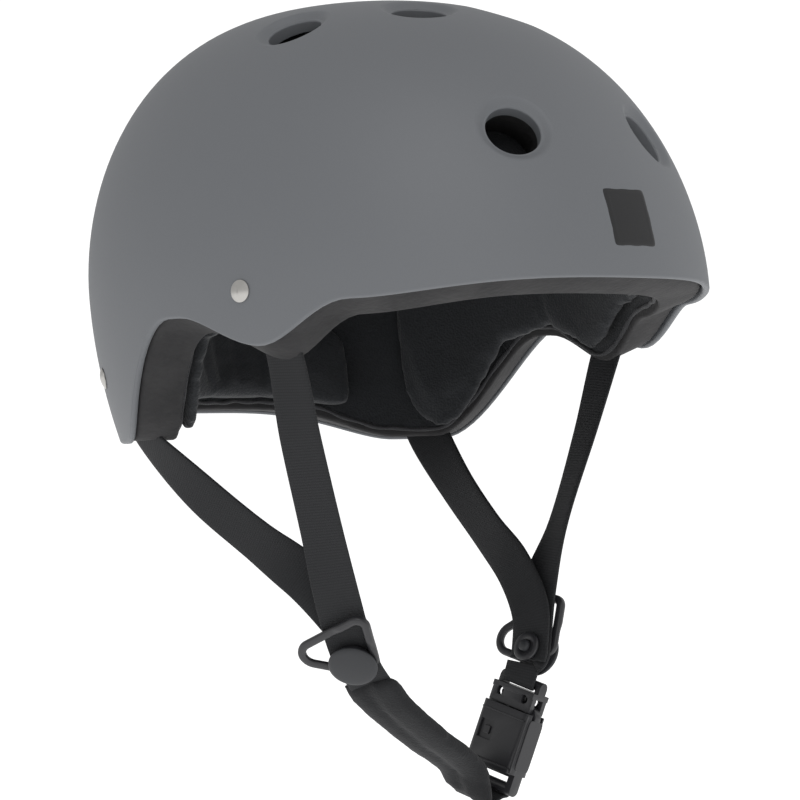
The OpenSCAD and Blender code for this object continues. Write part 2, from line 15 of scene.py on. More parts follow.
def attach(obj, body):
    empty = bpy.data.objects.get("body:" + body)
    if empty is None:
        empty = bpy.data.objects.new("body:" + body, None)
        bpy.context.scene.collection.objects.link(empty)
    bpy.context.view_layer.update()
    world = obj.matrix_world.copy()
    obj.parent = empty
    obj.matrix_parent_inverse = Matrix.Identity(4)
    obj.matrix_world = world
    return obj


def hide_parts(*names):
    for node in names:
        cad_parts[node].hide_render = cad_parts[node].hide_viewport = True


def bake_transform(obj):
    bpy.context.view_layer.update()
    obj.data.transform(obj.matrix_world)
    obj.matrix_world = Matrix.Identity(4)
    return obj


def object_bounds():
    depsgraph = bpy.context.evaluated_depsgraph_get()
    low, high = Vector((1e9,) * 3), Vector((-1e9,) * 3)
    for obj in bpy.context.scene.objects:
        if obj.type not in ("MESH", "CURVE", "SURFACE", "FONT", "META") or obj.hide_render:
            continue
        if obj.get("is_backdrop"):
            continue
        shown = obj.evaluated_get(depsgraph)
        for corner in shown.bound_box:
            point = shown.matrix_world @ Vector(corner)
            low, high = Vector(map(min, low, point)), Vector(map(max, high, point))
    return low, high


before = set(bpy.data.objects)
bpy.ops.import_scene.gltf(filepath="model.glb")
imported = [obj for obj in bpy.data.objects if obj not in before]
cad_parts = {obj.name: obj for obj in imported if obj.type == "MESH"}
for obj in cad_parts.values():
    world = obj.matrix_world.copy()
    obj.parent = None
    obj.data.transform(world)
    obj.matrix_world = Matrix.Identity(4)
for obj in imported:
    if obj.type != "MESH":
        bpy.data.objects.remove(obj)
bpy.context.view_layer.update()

# %% [markdown]
# ## Camera, light and floor
# A long lens a metre and a half away keeps the helmet's lines nearly parallel. The light is
# a plain white room with two large soft lamps, so the matte shell shows its form by gentle
# shading and not by hard shadows. The room looks brighter to the camera than it shines on
# the helmet, so the background is clean white and the dark plastics keep their depth.

# %% Camera
def unit(v):
    """A vector divided by its own length, along the last axis."""
    v = np.asarray(v, float)
    return v / np.linalg.norm(v, axis=-1, keepdims=True)


def aim_camera(place, forward, roll, lens):
    """Camera whose axes are built from the view direction and a small roll about it."""
    data = bpy.data.cameras.new("lens")
    data.lens = lens
    data.clip_end = 50
    eye = bpy.data.objects.new("camera", data)
    bpy.context.collection.objects.link(eye)
    ahead = unit(forward)
    level = unit(np.cross(ahead, (0, 0, 1)))
    above = np.cross(level, ahead)
    right = np.cos(roll) * level + np.sin(roll) * above
    top = -np.sin(roll) * level + np.cos(roll) * above
    turn = np.eye(4)
    turn[:3, :3] = np.stack([right, top, -ahead], axis=1)
    turn[:3, 3] = place
    eye.matrix_world = Matrix(turn.tolist())
    bpy.context.scene.camera = eye
    return eye


aim_camera((-1.01900, -1.09923, -0.06480), (0.680607, 0.732532, 0.013110), -0.0192, 163.4)

# %% Room and lamps
room = bpy.data.worlds.new("room")
bpy.context.scene.world = room
room.use_nodes = True
bpy.context.scene.view_settings.view_transform = "Standard"
ROOM_LIGHT, ROOM_SEEN = 0.62, 1.1
shine = room.node_tree.nodes["Background"]
shine.inputs["Color"].default_value = (1, 1, 1, 1)
seen = room.node_tree.nodes.new("ShaderNodeLightPath")
strength = room.node_tree.nodes.new("ShaderNodeMapRange")
strength.inputs["To Min"].default_value = ROOM_LIGHT
strength.inputs["To Max"].default_value = ROOM_SEEN
room.node_tree.links.new(seen.outputs["Is Camera Ray"], strength.inputs["Value"])
room.node_tree.links.new(strength.outputs["Result"], shine.inputs["Strength"])


def soft_lamp(name, place, size, watts):
    """Square area lamp that faces the middle of the helmet."""
    data = bpy.data.lights.new(name, "AREA")
    data.size = size
    data.energy = watts
    lamp = bpy.data.objects.new(name, data)
    bpy.context.collection.objects.link(lamp)
    lamp.location = place
    lamp.rotation_euler = (Vector((0, 0, -0.05)) - Vector(place)).to_track_quat("-Z", "Y").to_euler()
    return lamp


soft_lamp("key_lamp", (-1.0, -1.2, 1.8), 1.6, 14)
soft_lamp("fill_lamp", (1.6, -0.6, 0.9), 1.6, 2.5)


# %% [markdown]
# ## Shader groups
# Three effects turn up on more than one material: a fine moulded or foamed grain, the ribs
# of woven webbing, and the loops of knitted cloth. Each is one node group with named inputs,
# placed in each material with its own values.

# %% Group helpers
def new_group(name, inputs, outputs):
    """Empty shader group with float inputs (name, default) and float outputs."""
    group = bpy.data.node_groups.new(name, "ShaderNodeTree")
    for label, value in inputs:
        socket = group.interface.new_socket(label, in_out="INPUT", socket_type="NodeSocketFloat")
        socket.default_value = value
    for label in outputs:
        group.interface.new_socket(label, in_out="OUTPUT", socket_type="NodeSocketFloat")
    return group, group.nodes.new("NodeGroupInput"), group.nodes.new("NodeGroupOutput")


def math_node(tree, kind, first, second=None, third=None):
    """Math node with sockets or numbers as its inputs; returns its output."""
    node = tree.nodes.new("ShaderNodeMath")
    node.operation = kind
    for slot, value in enumerate((first, second, third)):
        if value is None:
            continue
        if isinstance(value, (int, float)):
            node.inputs[slot].default_value = value
        else:
            tree.links.new(value, node.inputs[slot])
    return node.outputs[0]


# %% Fine grain
grain, g_in, g_out = new_group("fine_grain", [("Scale", 900), ("Blotch Scale", 14), ("Blotch", 0.3)],
                               ["Height", "Tone"])
place = grain.nodes.new("ShaderNodeTexCoord")
speck = grain.nodes.new("ShaderNodeTexNoise")
speck.inputs["Detail"].default_value = 3
blotch = grain.nodes.new("ShaderNodeTexNoise")
blotch.inputs["Detail"].default_value = 2
for noise, label in ((speck, "Scale"), (blotch, "Blotch Scale")):
    grain.links.new(place.outputs["Object"], noise.inputs["Vector"])
    grain.links.new(g_in.outputs[label], noise.inputs["Scale"])
grain.links.new(speck.outputs["Fac"], g_out.inputs["Height"])
spread = math_node(grain, "SUBTRACT", blotch.outputs["Fac"], 0.5)
spread = math_node(grain, "MULTIPLY", spread, g_in.outputs["Blotch"])
fine = math_node(grain, "SUBTRACT", speck.outputs["Fac"], 0.5)
fine = math_node(grain, "MULTIPLY", fine, 0.35)
tone = math_node(grain, "ADD", spread, fine)
grain.links.new(math_node(grain, "ADD", tone, 0.5), g_out.inputs["Tone"])

# %% Webbing ribs
# The cloth's map has its U across the band and its V along it, both in millimetres.
ribs, r_in, r_out = new_group("webbing_ribs", [("Rib", 1.1), ("Yarn", 0.9)], ["Height", "Tone"])
cloth_map = ribs.nodes.new("ShaderNodeUVMap")
cloth_map.uv_map = "cloth"
split = ribs.nodes.new("ShaderNodeSeparateXYZ")
ribs.links.new(cloth_map.outputs["UV"], split.inputs[0])
along = math_node(ribs, "DIVIDE", split.outputs["Y"], r_in.outputs["Rib"])
across = math_node(ribs, "DIVIDE", split.outputs["X"], r_in.outputs["Yarn"])
row = math_node(ribs, "FLOOR", along)
shift = math_node(ribs, "MULTIPLY", row, 0.5)
rib = math_node(ribs, "ABSOLUTE", math_node(ribs, "SINE", math_node(ribs, "MULTIPLY", along, np.pi)))
yarn = math_node(ribs, "ADD", across, shift)
yarn = math_node(ribs, "ABSOLUTE", math_node(ribs, "SINE", math_node(ribs, "MULTIPLY", yarn, np.pi)))
weave = math_node(ribs, "MULTIPLY", math_node(ribs, "POWER", rib, 0.6),
                  math_node(ribs, "MULTIPLY_ADD", yarn, 0.45, 0.55))
ribs.links.new(weave, r_out.inputs["Height"])
ribs.links.new(math_node(ribs, "MULTIPLY_ADD", weave, 0.5, 0.3), r_out.inputs["Tone"])

# %% Knitted cloth
knit, k_in, k_out = new_group("knit_cloth", [("Scale", 900), ("Fold Scale", 35)], ["Height", "Tone"])
where = knit.nodes.new("ShaderNodeTexCoord")
cell = knit.nodes.new("ShaderNodeTexVoronoi")
fold = knit.nodes.new("ShaderNodeTexNoise")
fold.inputs["Detail"].default_value = 4
knit.links.new(where.outputs["Object"], cell.inputs["Vector"])
knit.links.new(where.outputs["Object"], fold.inputs["Vector"])
knit.links.new(k_in.outputs["Scale"], cell.inputs["Scale"])
knit.links.new(k_in.outputs["Fold Scale"], fold.inputs["Scale"])
loop = math_node(knit, "SUBTRACT", 1.0, cell.outputs["Distance"])
knit.links.new(math_node(knit, "MULTIPLY_ADD", fold.outputs["Fac"], 1.5, loop), k_out.inputs["Height"])
knit.links.new(math_node(knit, "MULTIPLY_ADD", loop, 0.35,
                         math_node(knit, "MULTIPLY", fold.outputs["Fac"], 0.5)), k_out.inputs["Tone"])

# %% [markdown]
# ## Materials
# Each finish is a Principled shader whose colour runs between a dark and a light shade by the
# group's tone, with the group's height as bump. Sheen, coat and the like are the same all
# over a surface, so they are set on the shader's own sockets.

# %% Material maker
def finish(name, group, values, dark, light, rough, bump, depth, **constants):
    """Material that mixes two shades by a group's Tone and bumps by its Height.
    rough is the roughness at the dark and the light end; depth is the relief in metres."""
    mat = bpy.data.materials.new(name)
    mat.use_nodes = True
    tree = mat.node_tree
    shader = tree.nodes["Principled BSDF"]
    effect = tree.nodes.new("ShaderNodeGroup")
    effect.node_tree = group
    for label, value in values.items():
        effect.inputs[label].default_value = value
    shade = tree.nodes.new("ShaderNodeValToRGB")
    shade.color_ramp.elements[0].color = (*dark, 1)
    shade.color_ramp.elements[1].color = (*light, 1)
    tree.links.new(effect.outputs["Tone"], shade.inputs["Fac"])
    tree.links.new(shade.outputs["Color"], shader.inputs["Base Color"])
    span = tree.nodes.new("ShaderNodeMapRange")
    span.inputs["To Min"].default_value = rough[0]
    span.inputs["To Max"].default_value = rough[1]
    tree.links.new(effect.outputs["Tone"], span.inputs["Value"])
    tree.links.new(span.outputs["Result"], shader.inputs["Roughness"])
    relief = tree.nodes.new("ShaderNodeBump")
    relief.inputs["Strength"].default_value = bump
    relief.inputs["Distance"].default_value = depth
    tree.links.new(effect.outputs["Height"], relief.inputs["Height"])
    tree.links.new(relief.outputs["Normal"], shader.inputs["Normal"])
    for label, value in constants.items():
        shader.inputs[label.replace("_", " ").title()].default_value = value
    return mat


# %% The finishes
shell_grey = finish("shell_grey", grain, {"Scale": 1500, "Blotch Scale": 9, "Blotch": 0.35},
                    (0.112, 0.118, 0.127), (0.142, 0.149, 0.160), (0.62, 0.5), 0.25, 0.00008)
foam_grey = finish("foam_grey", grain, {"Scale": 420, "Blotch Scale": 60, "Blotch": 1.2},
                   (0.010, 0.010, 0.011), (0.031, 0.030, 0.031), (0.95, 0.85), 0.7, 0.0005)
pad_black = finish("pad_black", knit, {"Scale": 1100, "Fold Scale": 40},
                   (0.005, 0.006, 0.007), (0.014, 0.016, 0.020), (0.95, 0.8), 0.6, 0.0004,
                   sheen_weight=0.08, sheen_roughness=0.5)
hem_grey = finish("hem_grey", knit, {"Scale": 1400, "Fold Scale": 90},
                  (0.010, 0.010, 0.012), (0.030, 0.031, 0.034), (0.95, 0.8), 0.6, 0.0003,
                  sheen_weight=0.1)
webbing_black = finish("webbing_black", ribs, {"Rib": 1.15, "Yarn": 1.0},
                       (0.003, 0.003, 0.004), (0.011, 0.012, 0.014), (0.9, 0.75), 0.5, 0.0002,
                       sheen_weight=0.03, sheen_roughness=0.4)
chin_cloth = finish("chin_cloth", knit, {"Scale": 1300, "Fold Scale": 55},
                    (0.003, 0.003, 0.004), (0.009, 0.010, 0.012), (0.95, 0.85), 0.5, 0.0003,
                    sheen_weight=0.05)
guide_black = finish("guide_black", grain, {"Scale": 1200, "Blotch Scale": 80, "Blotch": 0.4},
                     (0.012, 0.012, 0.014), (0.024, 0.024, 0.027), (0.42, 0.3), 0.25, 0.0001)
cap_matte = finish("cap_matte", grain, {"Scale": 2200, "Blotch Scale": 50, "Blotch": 0.3},
                   (0.012, 0.013, 0.015), (0.022, 0.024, 0.028), (0.6, 0.5), 0.3, 0.0001)
buckle_black = finish("buckle_black", grain, {"Scale": 1600, "Blotch Scale": 60, "Blotch": 0.4},
                      (0.011, 0.011, 0.013), (0.023, 0.023, 0.026), (0.45, 0.33), 0.3, 0.0001)
rivet_silver = finish("rivet_silver", grain, {"Scale": 700, "Blotch Scale": 300, "Blotch": 0.5},
                      (0.38, 0.37, 0.35), (0.52, 0.51, 0.49), (0.38, 0.25), 0.15, 0.0001,
                      metallic=0.85)
badge_dark = finish("badge_dark", grain, {"Scale": 1200, "Blotch Scale": 40, "Blotch": 0.3},
                    (0.007, 0.007, 0.008), (0.011, 0.011, 0.012), (0.7, 0.6), 0.2, 0.0001)
hook_black = finish("hook_black", grain, {"Scale": 1500, "Blotch Scale": 200, "Blotch": 0.8},
                    (0.004, 0.004, 0.005), (0.014, 0.014, 0.015), (0.98, 0.9), 1.0, 0.0006)
print("finishes", len(bpy.data.materials))


# %% [markdown]
# ## From arrays to pieces
# Every new piece passes through one function: it takes arrays of points and faces in
# millimetres, scales the points to metres, puts them in a mesh, and lets the piece ride on
# its body in place of the CAD solid that it stands for.

# %% Piece maker
def piece(name, points, faces, material, body=None, stands_for=(), smooth=True,
          normals=None, cloth=None):
    """Mesh object from points in mm and faces; cloth is an optional (U, V) per corner, in mm."""
    mesh = bpy.data.meshes.new(name)
    mesh.from_pydata((np.asarray(points) * 0.001).tolist(), [], [list(map(int, f)) for f in faces])
    mesh.validate()
    mesh.materials.append(material)
    if smooth:
        mesh.polygons.foreach_set("use_smooth", np.ones(len(mesh.polygons), bool))
    if cloth is not None:
        layer = mesh.uv_layers.new(name="cloth")
        layer.data.foreach_set("uv", np.asarray(cloth, float).ravel())
    if normals is not None:
        mesh.normals_split_custom_set_from_vertices(unit(normals).tolist())
    mesh.update()
    obj = bpy.data.objects.new(name, mesh)
    bpy.context.collection.objects.link(obj)
    if stands_for:
        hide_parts(*stands_for)
    if body:
        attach(obj, body)
    print(name, len(mesh.vertices), "points")
    return obj


def skin(rows, cols, loop_rows=False, loop_cols=False, first=0):
    """Quads of a grid of rows x cols points, numbered row by row from first."""
    r = np.arange(rows if loop_rows else rows - 1)
    c = np.arange(cols if loop_cols else cols - 1)
    r, c = np.meshgrid(r, c, indexing="ij")
    r2, c2 = (r + 1) % rows, (c + 1) % cols
    quads = np.stack([r * cols + c, r * cols + c2, r2 * cols + c2, r2 * cols + c], axis=-1)
    return (quads.reshape(-1, 4) + first).tolist()


def outward(obj):
    """Turns every face of a closed mesh outwards after merging its doubles."""
    work = bmesh.new()
    work.from_mesh(obj.data)
    bmesh.ops.remove_doubles(work, verts=work.verts, dist=1e-6)
    bmesh.ops.recalc_face_normals(work, faces=work.faces)
    work.to_mesh(obj.data)
    work.free()
    return obj


# %% [markdown]
# ## The dome
# The shell is a squarish ellipse in plan that closes towards the crown by a power law, leans
# back a little as it rises and tucks in below the rim. The rim's height is a chain of smooth
# steps: brow, side tab, ear arch, nape.

# %% Dome functions
HALF_W, HALF_L, CROWN, BACK = 114.0, 140.0, 119.0, 12.5
PLAN, RISE, SIDE = 2.04, 1.9, 2.6


def ease(t):
    """Smooth step from 0 to 1."""
    t = np.clip(t, 0, 1)
    return t * t * (3 - 2 * t)


def rim_height(s):
    """Rim height at s, the sine of the place round the rim: brow -1, nape 1."""
    return (-6.6 * ease((s + 1) / 0.45) - 16.9 * ease((s + 0.55) / 0.278)
            + 12.2 * ease((s + 0.272) / 0.302) - 48.7 * ease((s - 0.08) / 0.48)
            + 13 * ease((s - 0.7) / 0.3))


def plan(a):
    """Radius of the squarish ellipse at angle a."""
    return (np.abs(np.cos(a)) ** PLAN + np.abs(np.sin(a)) ** PLAN) ** (-1 / PLAN)


def hang_share(a):
    """Share of the foam's hang at angle a: whole in front of the ears, none behind them."""
    return 1 - ease((plan(a) * np.sin(a) - 0.08) / 0.48)


def taper(z, top):
    """Share of the plan's size left at height z."""
    high = np.clip(1 - np.clip(z / top, 0, None) ** RISE, 0, None) ** (1 / SIDE)
    return np.where(z >= 0, high, 1 - 0.063 * (z / 60) ** 2)


def dome(a, z, inset):
    """Point at angle a and height z on the surface that lies inset inside the shell."""
    top = CROWN - inset
    k = plan(a) * taper(z, top)
    return np.stack([(HALF_W - inset) * k * np.cos(a),
                     (HALF_L - inset) * k * np.sin(a) + BACK * z / top,
                     z + 0 * k], axis=-1)


def dome_out(a, z):
    """Outward direction of the shell at angle a and height z."""
    d = np.radians(1)
    return unit(np.cross(dome(a + d, z, 0) - dome(a - d, z, 0),
                         dome(a, z + 0.5, 0) - dome(a, z - 0.5, 0)))


def flip_x(p):
    """The same points on the wearer's other side."""
    return np.asarray(p, float) * (-1, 1, 1)


vent_angles = np.radians([[248.6, 29.1], [242.6, 69.4], [194.6, 62.2], [117.4, 69.4], [111.4, 29.1]])
vent_mid = dome(vent_angles[:, 0], CROWN * np.sin(vent_angles[:, 1]), 0)
vent_way = dome_out(vent_angles[:, 0], CROWN * np.sin(vent_angles[:, 1]))
vent_mid = np.concatenate([vent_mid, flip_x(vent_mid)])
vent_way = np.concatenate([vent_way, flip_x(vent_way)])
print("vents", len(vent_mid), "highest at", round(vent_mid[:, 2].max(), 1))


# %% [markdown]
# ## A layer of the dome with round vents in it
# A grid of rings and spokes cannot follow ten round holes. So the layer is drawn flat, as a
# disc whose centre is the crown and whose edge is the rim, the vents' circles are added to
# the drawing, and a Delaunay triangulation joins it all. Each drawn point is then lifted onto
# the dome by the same formula, so the surface stays smooth however the triangles fall.

# %% Disc and dome
def lift_points(flat, inset, above, hang=0):
    """Disc to dome: the angle stays, and the distance from the centre sets the height angle.
    A hang lowers the edge by that much, and the pull dies away with the sixth power of the
    distance, so that it moves the edge and not the vents."""
    rho = np.hypot(flat[:, 0], flat[:, 1])
    a = np.arctan2(flat[:, 1], flat[:, 0])
    top = CROWN - inset
    rim = rim_height(plan(a) * np.sin(a)) + above - hang * hang_share(a) * rho ** 6
    low = np.arcsin(rim / top)
    return dome(a, top * np.sin(low + (np.pi / 2 - low) * (1 - rho)), inset)


def draw_points(p, inset, above):
    """Dome to disc, the other way round."""
    top = CROWN - inset
    a = np.arctan2((p[:, 1] - BACK * p[:, 2] / top) / (HALF_L - inset), p[:, 0] / (HALF_W - inset))
    low = np.arcsin((rim_height(plan(a) * np.sin(a)) + above) / top)
    rho = 1 - (np.arcsin(np.clip(p[:, 2] / top, -1, 1)) - low) / (np.pi / 2 - low)
    return np.stack([rho * np.cos(a), rho * np.sin(a)], axis=-1)


def vent_circle(k, radius, count, inset):
    """Points where a tube of that radius round vent k meets the dome, found by halving."""
    way = vent_way[k]
    side_a = unit(np.cross(way, (0, 0, 1)))
    side_b = np.cross(way, side_a)
    t = 2 * np.pi * np.arange(count) / count
    base = vent_mid[k] + radius * (np.cos(t)[:, None] * side_a + np.sin(t)[:, None] * side_b)
    low, high = np.full(count, -inset - 16.0), np.full(count, 4.0)
    top = CROWN - inset
    for _ in range(40):
        h = (low + high) / 2
        p = base + h[:, None] * way
        size = taper(p[:, 2], top) ** PLAN
        far = (np.abs(p[:, 0] / (HALF_W - inset)) ** PLAN
               + np.abs((p[:, 1] - BACK * p[:, 2] / top) / (HALF_L - inset)) ** PLAN)
        outside = (far > size) | (p[:, 2] > top)
        high = np.where(outside, h, high)
        low = np.where(outside, low, h)
    return base + low[:, None] * way


def from_vents(p):
    """Distance of each point from each vent's axis; far away on the axis's other side."""
    d = p[:, None, :] - vent_mid[None]
    along_axis = np.einsum("pvk,vk->pv", d, vent_way)
    r = np.sqrt(np.clip((d ** 2).sum(-1) - along_axis ** 2, 0, None))
    return np.where(along_axis > -45, r, 1e3)


def layer_drawing(inset, above, radii, cols=216, rows=52, count=56):
    """Flat points and triangles of one layer, with each circle's point numbers."""
    spokes = 2 * np.pi * np.arange(cols) / cols
    edge = np.stack([np.cos(spokes), np.sin(spokes)], axis=-1)
    inner = [np.zeros((1, 2))]
    for i in range(1, rows):
        rho = 1 - i / rows
        step = 1 if rho > 0.5 else 2 if rho > 0.25 else 4
        inner.append(edge[::step] * rho)
    inner = np.concatenate(inner)
    clear = from_vents(lift_points(inner, inset, above)).min(1) > radii[-1] + 1.2
    circles = [draw_points(vent_circle(k, r, count, inset), inset, above)
               for k in range(len(vent_mid)) for r in radii]
    flat = np.concatenate([edge, inner[clear], *circles])
    first = cols + clear.sum()
    bounds = [(i, (i + 1) % cols) for i in range(cols)]
    for c in range(len(circles)):
        s = first + c * count
        bounds += [(s + i, s + (i + 1) % count) for i in range(count)]
    out, _, tris, came, _, _ = delaunay_2d_cdt([Vector(p) for p in flat.tolist()], bounds, [], 0, 1e-7)
    index = {o: n for n, olds in enumerate(came) for o in olds}
    loops = [[index[first + c * count + i] for i in range(count)] for c in range(len(circles))]
    rim = [index[i] for i in range(cols)]
    tris = np.array([t for t in tris if len(t) == 3])
    return np.array([tuple(p) for p in out]), tris, loops, rim


# %% [markdown]
# ## The moulded shell
# Round every vent the skin dips smoothly into a shallow dish, then turns down the hole's
# wall and stops in a short collar. The dip is a smooth step of the distance from the vent's
# axis. The normals are worked out from the formula too, so no triangle shows in the gloss.

# %% Shell surface
VENT_R, DISH_R, DISH_DEPTH, COLLAR = 11.5, 16.2, 2.7, 8.0


def dished(p):
    """Points moved in along the nearest vent's axis by the dish's depth there."""
    r = from_vents(p)
    depth = DISH_DEPTH * (1 - ease((r - VENT_R) / (DISH_R - VENT_R)) ** 0.8)
    depth = np.where(r < 900, depth, 0)
    return p - depth @ vent_way


def shell_point(flat):
    return dished(lift_points(flat, 0, 0))


def field_normal(shape, flat, d=2e-4):
    """Surface direction from the cross product of two small steps across the drawing."""
    du = shape(flat + (d, 0)) - shape(flat - (d, 0))
    dv = shape(flat + (0, d)) - shape(flat - (0, d))
    return unit(np.cross(du, dv))


radii = [VENT_R, 12.2, 13.0, 13.9, 15.0, DISH_R, 17.6]
flat, tris, loops, rim = layer_drawing(0, 0, radii)
outer = shell_point(flat)
outer_n = field_normal(shell_point, flat)
outer_n *= np.sign((outer_n * (outer - (0, 5, 10))).sum(-1, keepdims=True))
inner = lift_points(flat, 3, 0)
middle = lift_points(flat[tris].mean(1), 0, 0)
gap = from_vents(middle).min(1)
out_tris = tris[gap > VENT_R * 0.995]
in_tris = tris[gap > 13.9 * 0.995]
facing = np.einsum("ij,ij->i", np.cross(outer[out_tris[:, 1]] - outer[out_tris[:, 0]],
                                        outer[out_tris[:, 2]] - outer[out_tris[:, 0]]),
                   outer_n[out_tris[:, 0]])
out_tris = np.where(facing[:, None] > 0, out_tris, out_tris[:, ::-1])
in_tris = np.where(np.median(facing) > 0, in_tris[:, ::-1], in_tris)

# %% Shell edges and collars
points, faces, normals = [outer, inner], out_tris.tolist() + (in_tris + len(outer)).tolist(), \
    [outer_n, -outer_n]
total = 2 * len(outer)


def add_strip(first_loop, new_loops, new_normals, last_loop, flip):
    """Band of quads from one loop of points through new ones to another."""
    global total
    ids = [list(first_loop)]
    for ring, way in zip(new_loops, new_normals):
        points.append(ring)
        normals.append(way)
        ids.append(list(range(total, total + len(ring))))
        total += len(ring)
    if last_loop is not None:
        ids.append(list(last_loop))
    for one, two in zip(ids[:-1], ids[1:]):
        for i in range(len(one)):
            j = (i + 1) % len(one)
            quad = [one[i], one[j], two[j], two[i]]
            faces.append(quad[::-1] if flip else quad)


rim = np.array(rim)
across_edge = outer[rim] - inner[rim]
downward = unit(outer[rim] - lift_points(flat[rim] * 0.985, 0, 0))
turn = np.radians([25, 60, 90, 120, 155])
edge_loops = [(outer[rim] + inner[rim]) / 2 + across_edge / 2 * np.cos(t)
              + downward * 1.5 * np.sin(t) * 0.8 for t in turn]
edge_ways = [unit(across_edge) * np.cos(t) + downward * np.sin(t) for t in turn]
add_strip(rim, edge_loops, edge_ways, rim + len(outer), True)
for k in range(len(vent_mid)):
    hole = np.array(loops[k * len(radii)])
    wide = np.array(loops[k * len(radii) + 3])
    lip = outer[hole]
    radial = lip - vent_mid[k]
    radial -= (radial @ vent_way[k])[:, None] * vent_way[k]
    radial = unit(radial)
    depth = (lip - vent_mid[k]) @ vent_way[k]
    rings, ways = [], []
    for r, down, tilt in ((11.25, 0.25, 0.5), (11.1, 0.8, 1), (11.1, None, 1), (11.5, -8.4, 0),
                          (13.4, -8.4, 0), (13.9, None, -1)):
        level = depth - down if down is not None and down > 0 else \
            (down if down is not None else (-COLLAR if tilt > 0 else depth - 4)) * np.ones(len(lip))
        rings.append(vent_mid[k] + radial * r + level[:, None] * vent_way[k])
        ways.append(unit(-radial * tilt + (1 - abs(tilt)) * vent_way[k] * (1 if tilt else -1)))
    add_strip(hole, rings, ways, wide + len(outer), k >= len(vent_mid) // 2)

shell = piece("shell_skin", np.concatenate(points), faces, shell_grey, "helmet",
              ("outer_shell",))
work = bmesh.new()
work.from_mesh(shell.data)
bmesh.ops.recalc_face_normals(work, faces=work.faces)
order = work.verts.layers.int.new("order")
for i, v in enumerate(work.verts):
    v[order] = i
bmesh.ops.delete(work, geom=[v for v in work.verts if not v.link_faces], context="VERTS")
kept = [v[order] for v in work.verts]
work.to_mesh(shell.data)
work.free()
shell.data.normals_split_custom_set_from_vertices(np.concatenate(normals)[kept].tolist())
shell.data.update()

# %% [markdown]
# ## Foam liner
# A thick bowl of dull foam sits inside the shell and shows as a broad grey edge at the rim.
# It is the same drawing at two other insets, with wider holes. Its lower edge is a band with
# rounded corners that slopes down inwards from the brow to the ears, and is level behind.

# %% Foam
FOAM_OUT, FOAM_IN, FOAM_UP, FOAM_HOLE, FOAM_HANG = 3.7, 21.4, 1.6, 16.2, 7.0


def rounded_edge(first, last, down, soft, steps=5):
    """Loops from one wall of a layer to the other: a quarter turn of radius soft at each
    corner, and a flat between them."""
    way = unit(last - first)
    t = np.linspace(0, np.pi / 2, steps)[1:]
    start = [first + way * soft * (1 - np.cos(s)) + down * soft * np.sin(s) for s in t]
    end = [last - way * soft * (1 - np.cos(s)) + down * soft * np.sin(s) for s in t[::-1]]
    return start + [(start[-1] + end[0]) / 2] + end


def closed_layer(name, out_inset, in_inset, above, hole, soft, material, body, stands_for,
                 cols=180, rows=36):
    """Bowl between two insets with a tube through it at every vent and a rounded rim."""
    flat, tris, loops, rim = layer_drawing(out_inset, above, [hole, hole + 2.5], cols, rows, 40)
    walls = [lift_points(flat, out_inset, above), lift_points(flat, in_inset, above, FOAM_HANG)]
    keep = from_vents(lift_points(flat[tris].mean(1), out_inset, above)).min(1) > hole * 0.99
    tris = tris[keep]
    rim = np.array(rim)
    n = len(flat)
    pts = [walls[0], walls[1]]
    fcs = tris.tolist() + (tris[:, ::-1] + n).tolist()
    count = 2 * n
    down = unit(walls[0][rim] - lift_points(flat[rim] * 0.985, out_inset, above))
    ids = [rim]
    for ring in rounded_edge(walls[0][rim], walls[1][rim], down, soft):
        pts.append(ring)
        ids.append(np.arange(count, count + len(rim)))
        count += len(rim)
    ids.append(rim + n)
    for k in range(0, len(loops), 2):
        hole_ids = np.array(loops[k])
        fcs += [[a, b, c, d] for a, b, c, d in zip(hole_ids, np.roll(hole_ids, -1),
                                                   np.roll(hole_ids, -1) + n, hole_ids + n)]
    for one, two in zip(ids[:-1], ids[1:]):
        fcs += [[a, b, c, d] for a, b, c, d in zip(one, np.roll(one, -1), np.roll(two, -1), two)]
    obj = piece(name, np.concatenate(pts), fcs, material, None, stands_for)
    outward(obj)
    work = bmesh.new()
    work.from_mesh(obj.data)
    bmesh.ops.delete(work, geom=[v for v in work.verts if not v.link_faces], context="VERTS")
    work.to_mesh(obj.data)
    work.free()
    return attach(obj, body)


closed_layer("foam_bowl", FOAM_OUT, FOAM_IN, FOAM_UP, FOAM_HOLE, 1.6, foam_grey, "helmet",
             ("foam_liner",))

# %% [markdown]
# ## Lining cloth
# Thin black cloth lines the foam. Its edge is turned over a soft cord and hand-glued, so it
# wanders: a sum of a few sine waves of the angle moves the hem up and down. It is glued
# down all over, so it is modelled directly and not hung or draped.

# %% Lining
def hem_line(a):
    """Height of the hem above the foam's edge at angle a, in mm."""
    return 2.2 + 0.5 * np.sin(7 * a) + 0.35 * np.sin(17 * a + 1) + 0.2 * np.sin(41 * a + 2)


LINING_IN = 22.3


def lining_point(a, share, inset):
    """Share 0 at the hem, 1 near the crown."""
    top = CROWN - inset
    rim = rim_height(plan(a) * np.sin(a)) + FOAM_UP - FOAM_HANG * hang_share(a)
    low = np.arcsin((rim + hem_line(a)) / top)
    return dome(a, top * np.sin(low + (np.radians(80) - low) * share), inset)


a, share = np.meshgrid(2 * np.pi * np.arange(360) / 360, np.linspace(0, 1, 60), indexing="ij")
wrinkle = 0.25 * np.sin(9 * a + 14 * share) * np.sin(5 * a) * share
front_cloth = lining_point(a, share, LINING_IN)
way_in = unit(front_cloth - (0, 8, 20))
front_cloth = front_cloth - way_in * (wrinkle[..., None] + 0.2)
back_cloth = front_cloth + way_in * 0.5
grid = np.concatenate([front_cloth, back_cloth[:, ::-1]], axis=1)
outward(piece("lining_cloth", grid.reshape(-1, 3), skin(360, 120, True, True), pad_black, "helmet",
              ()))


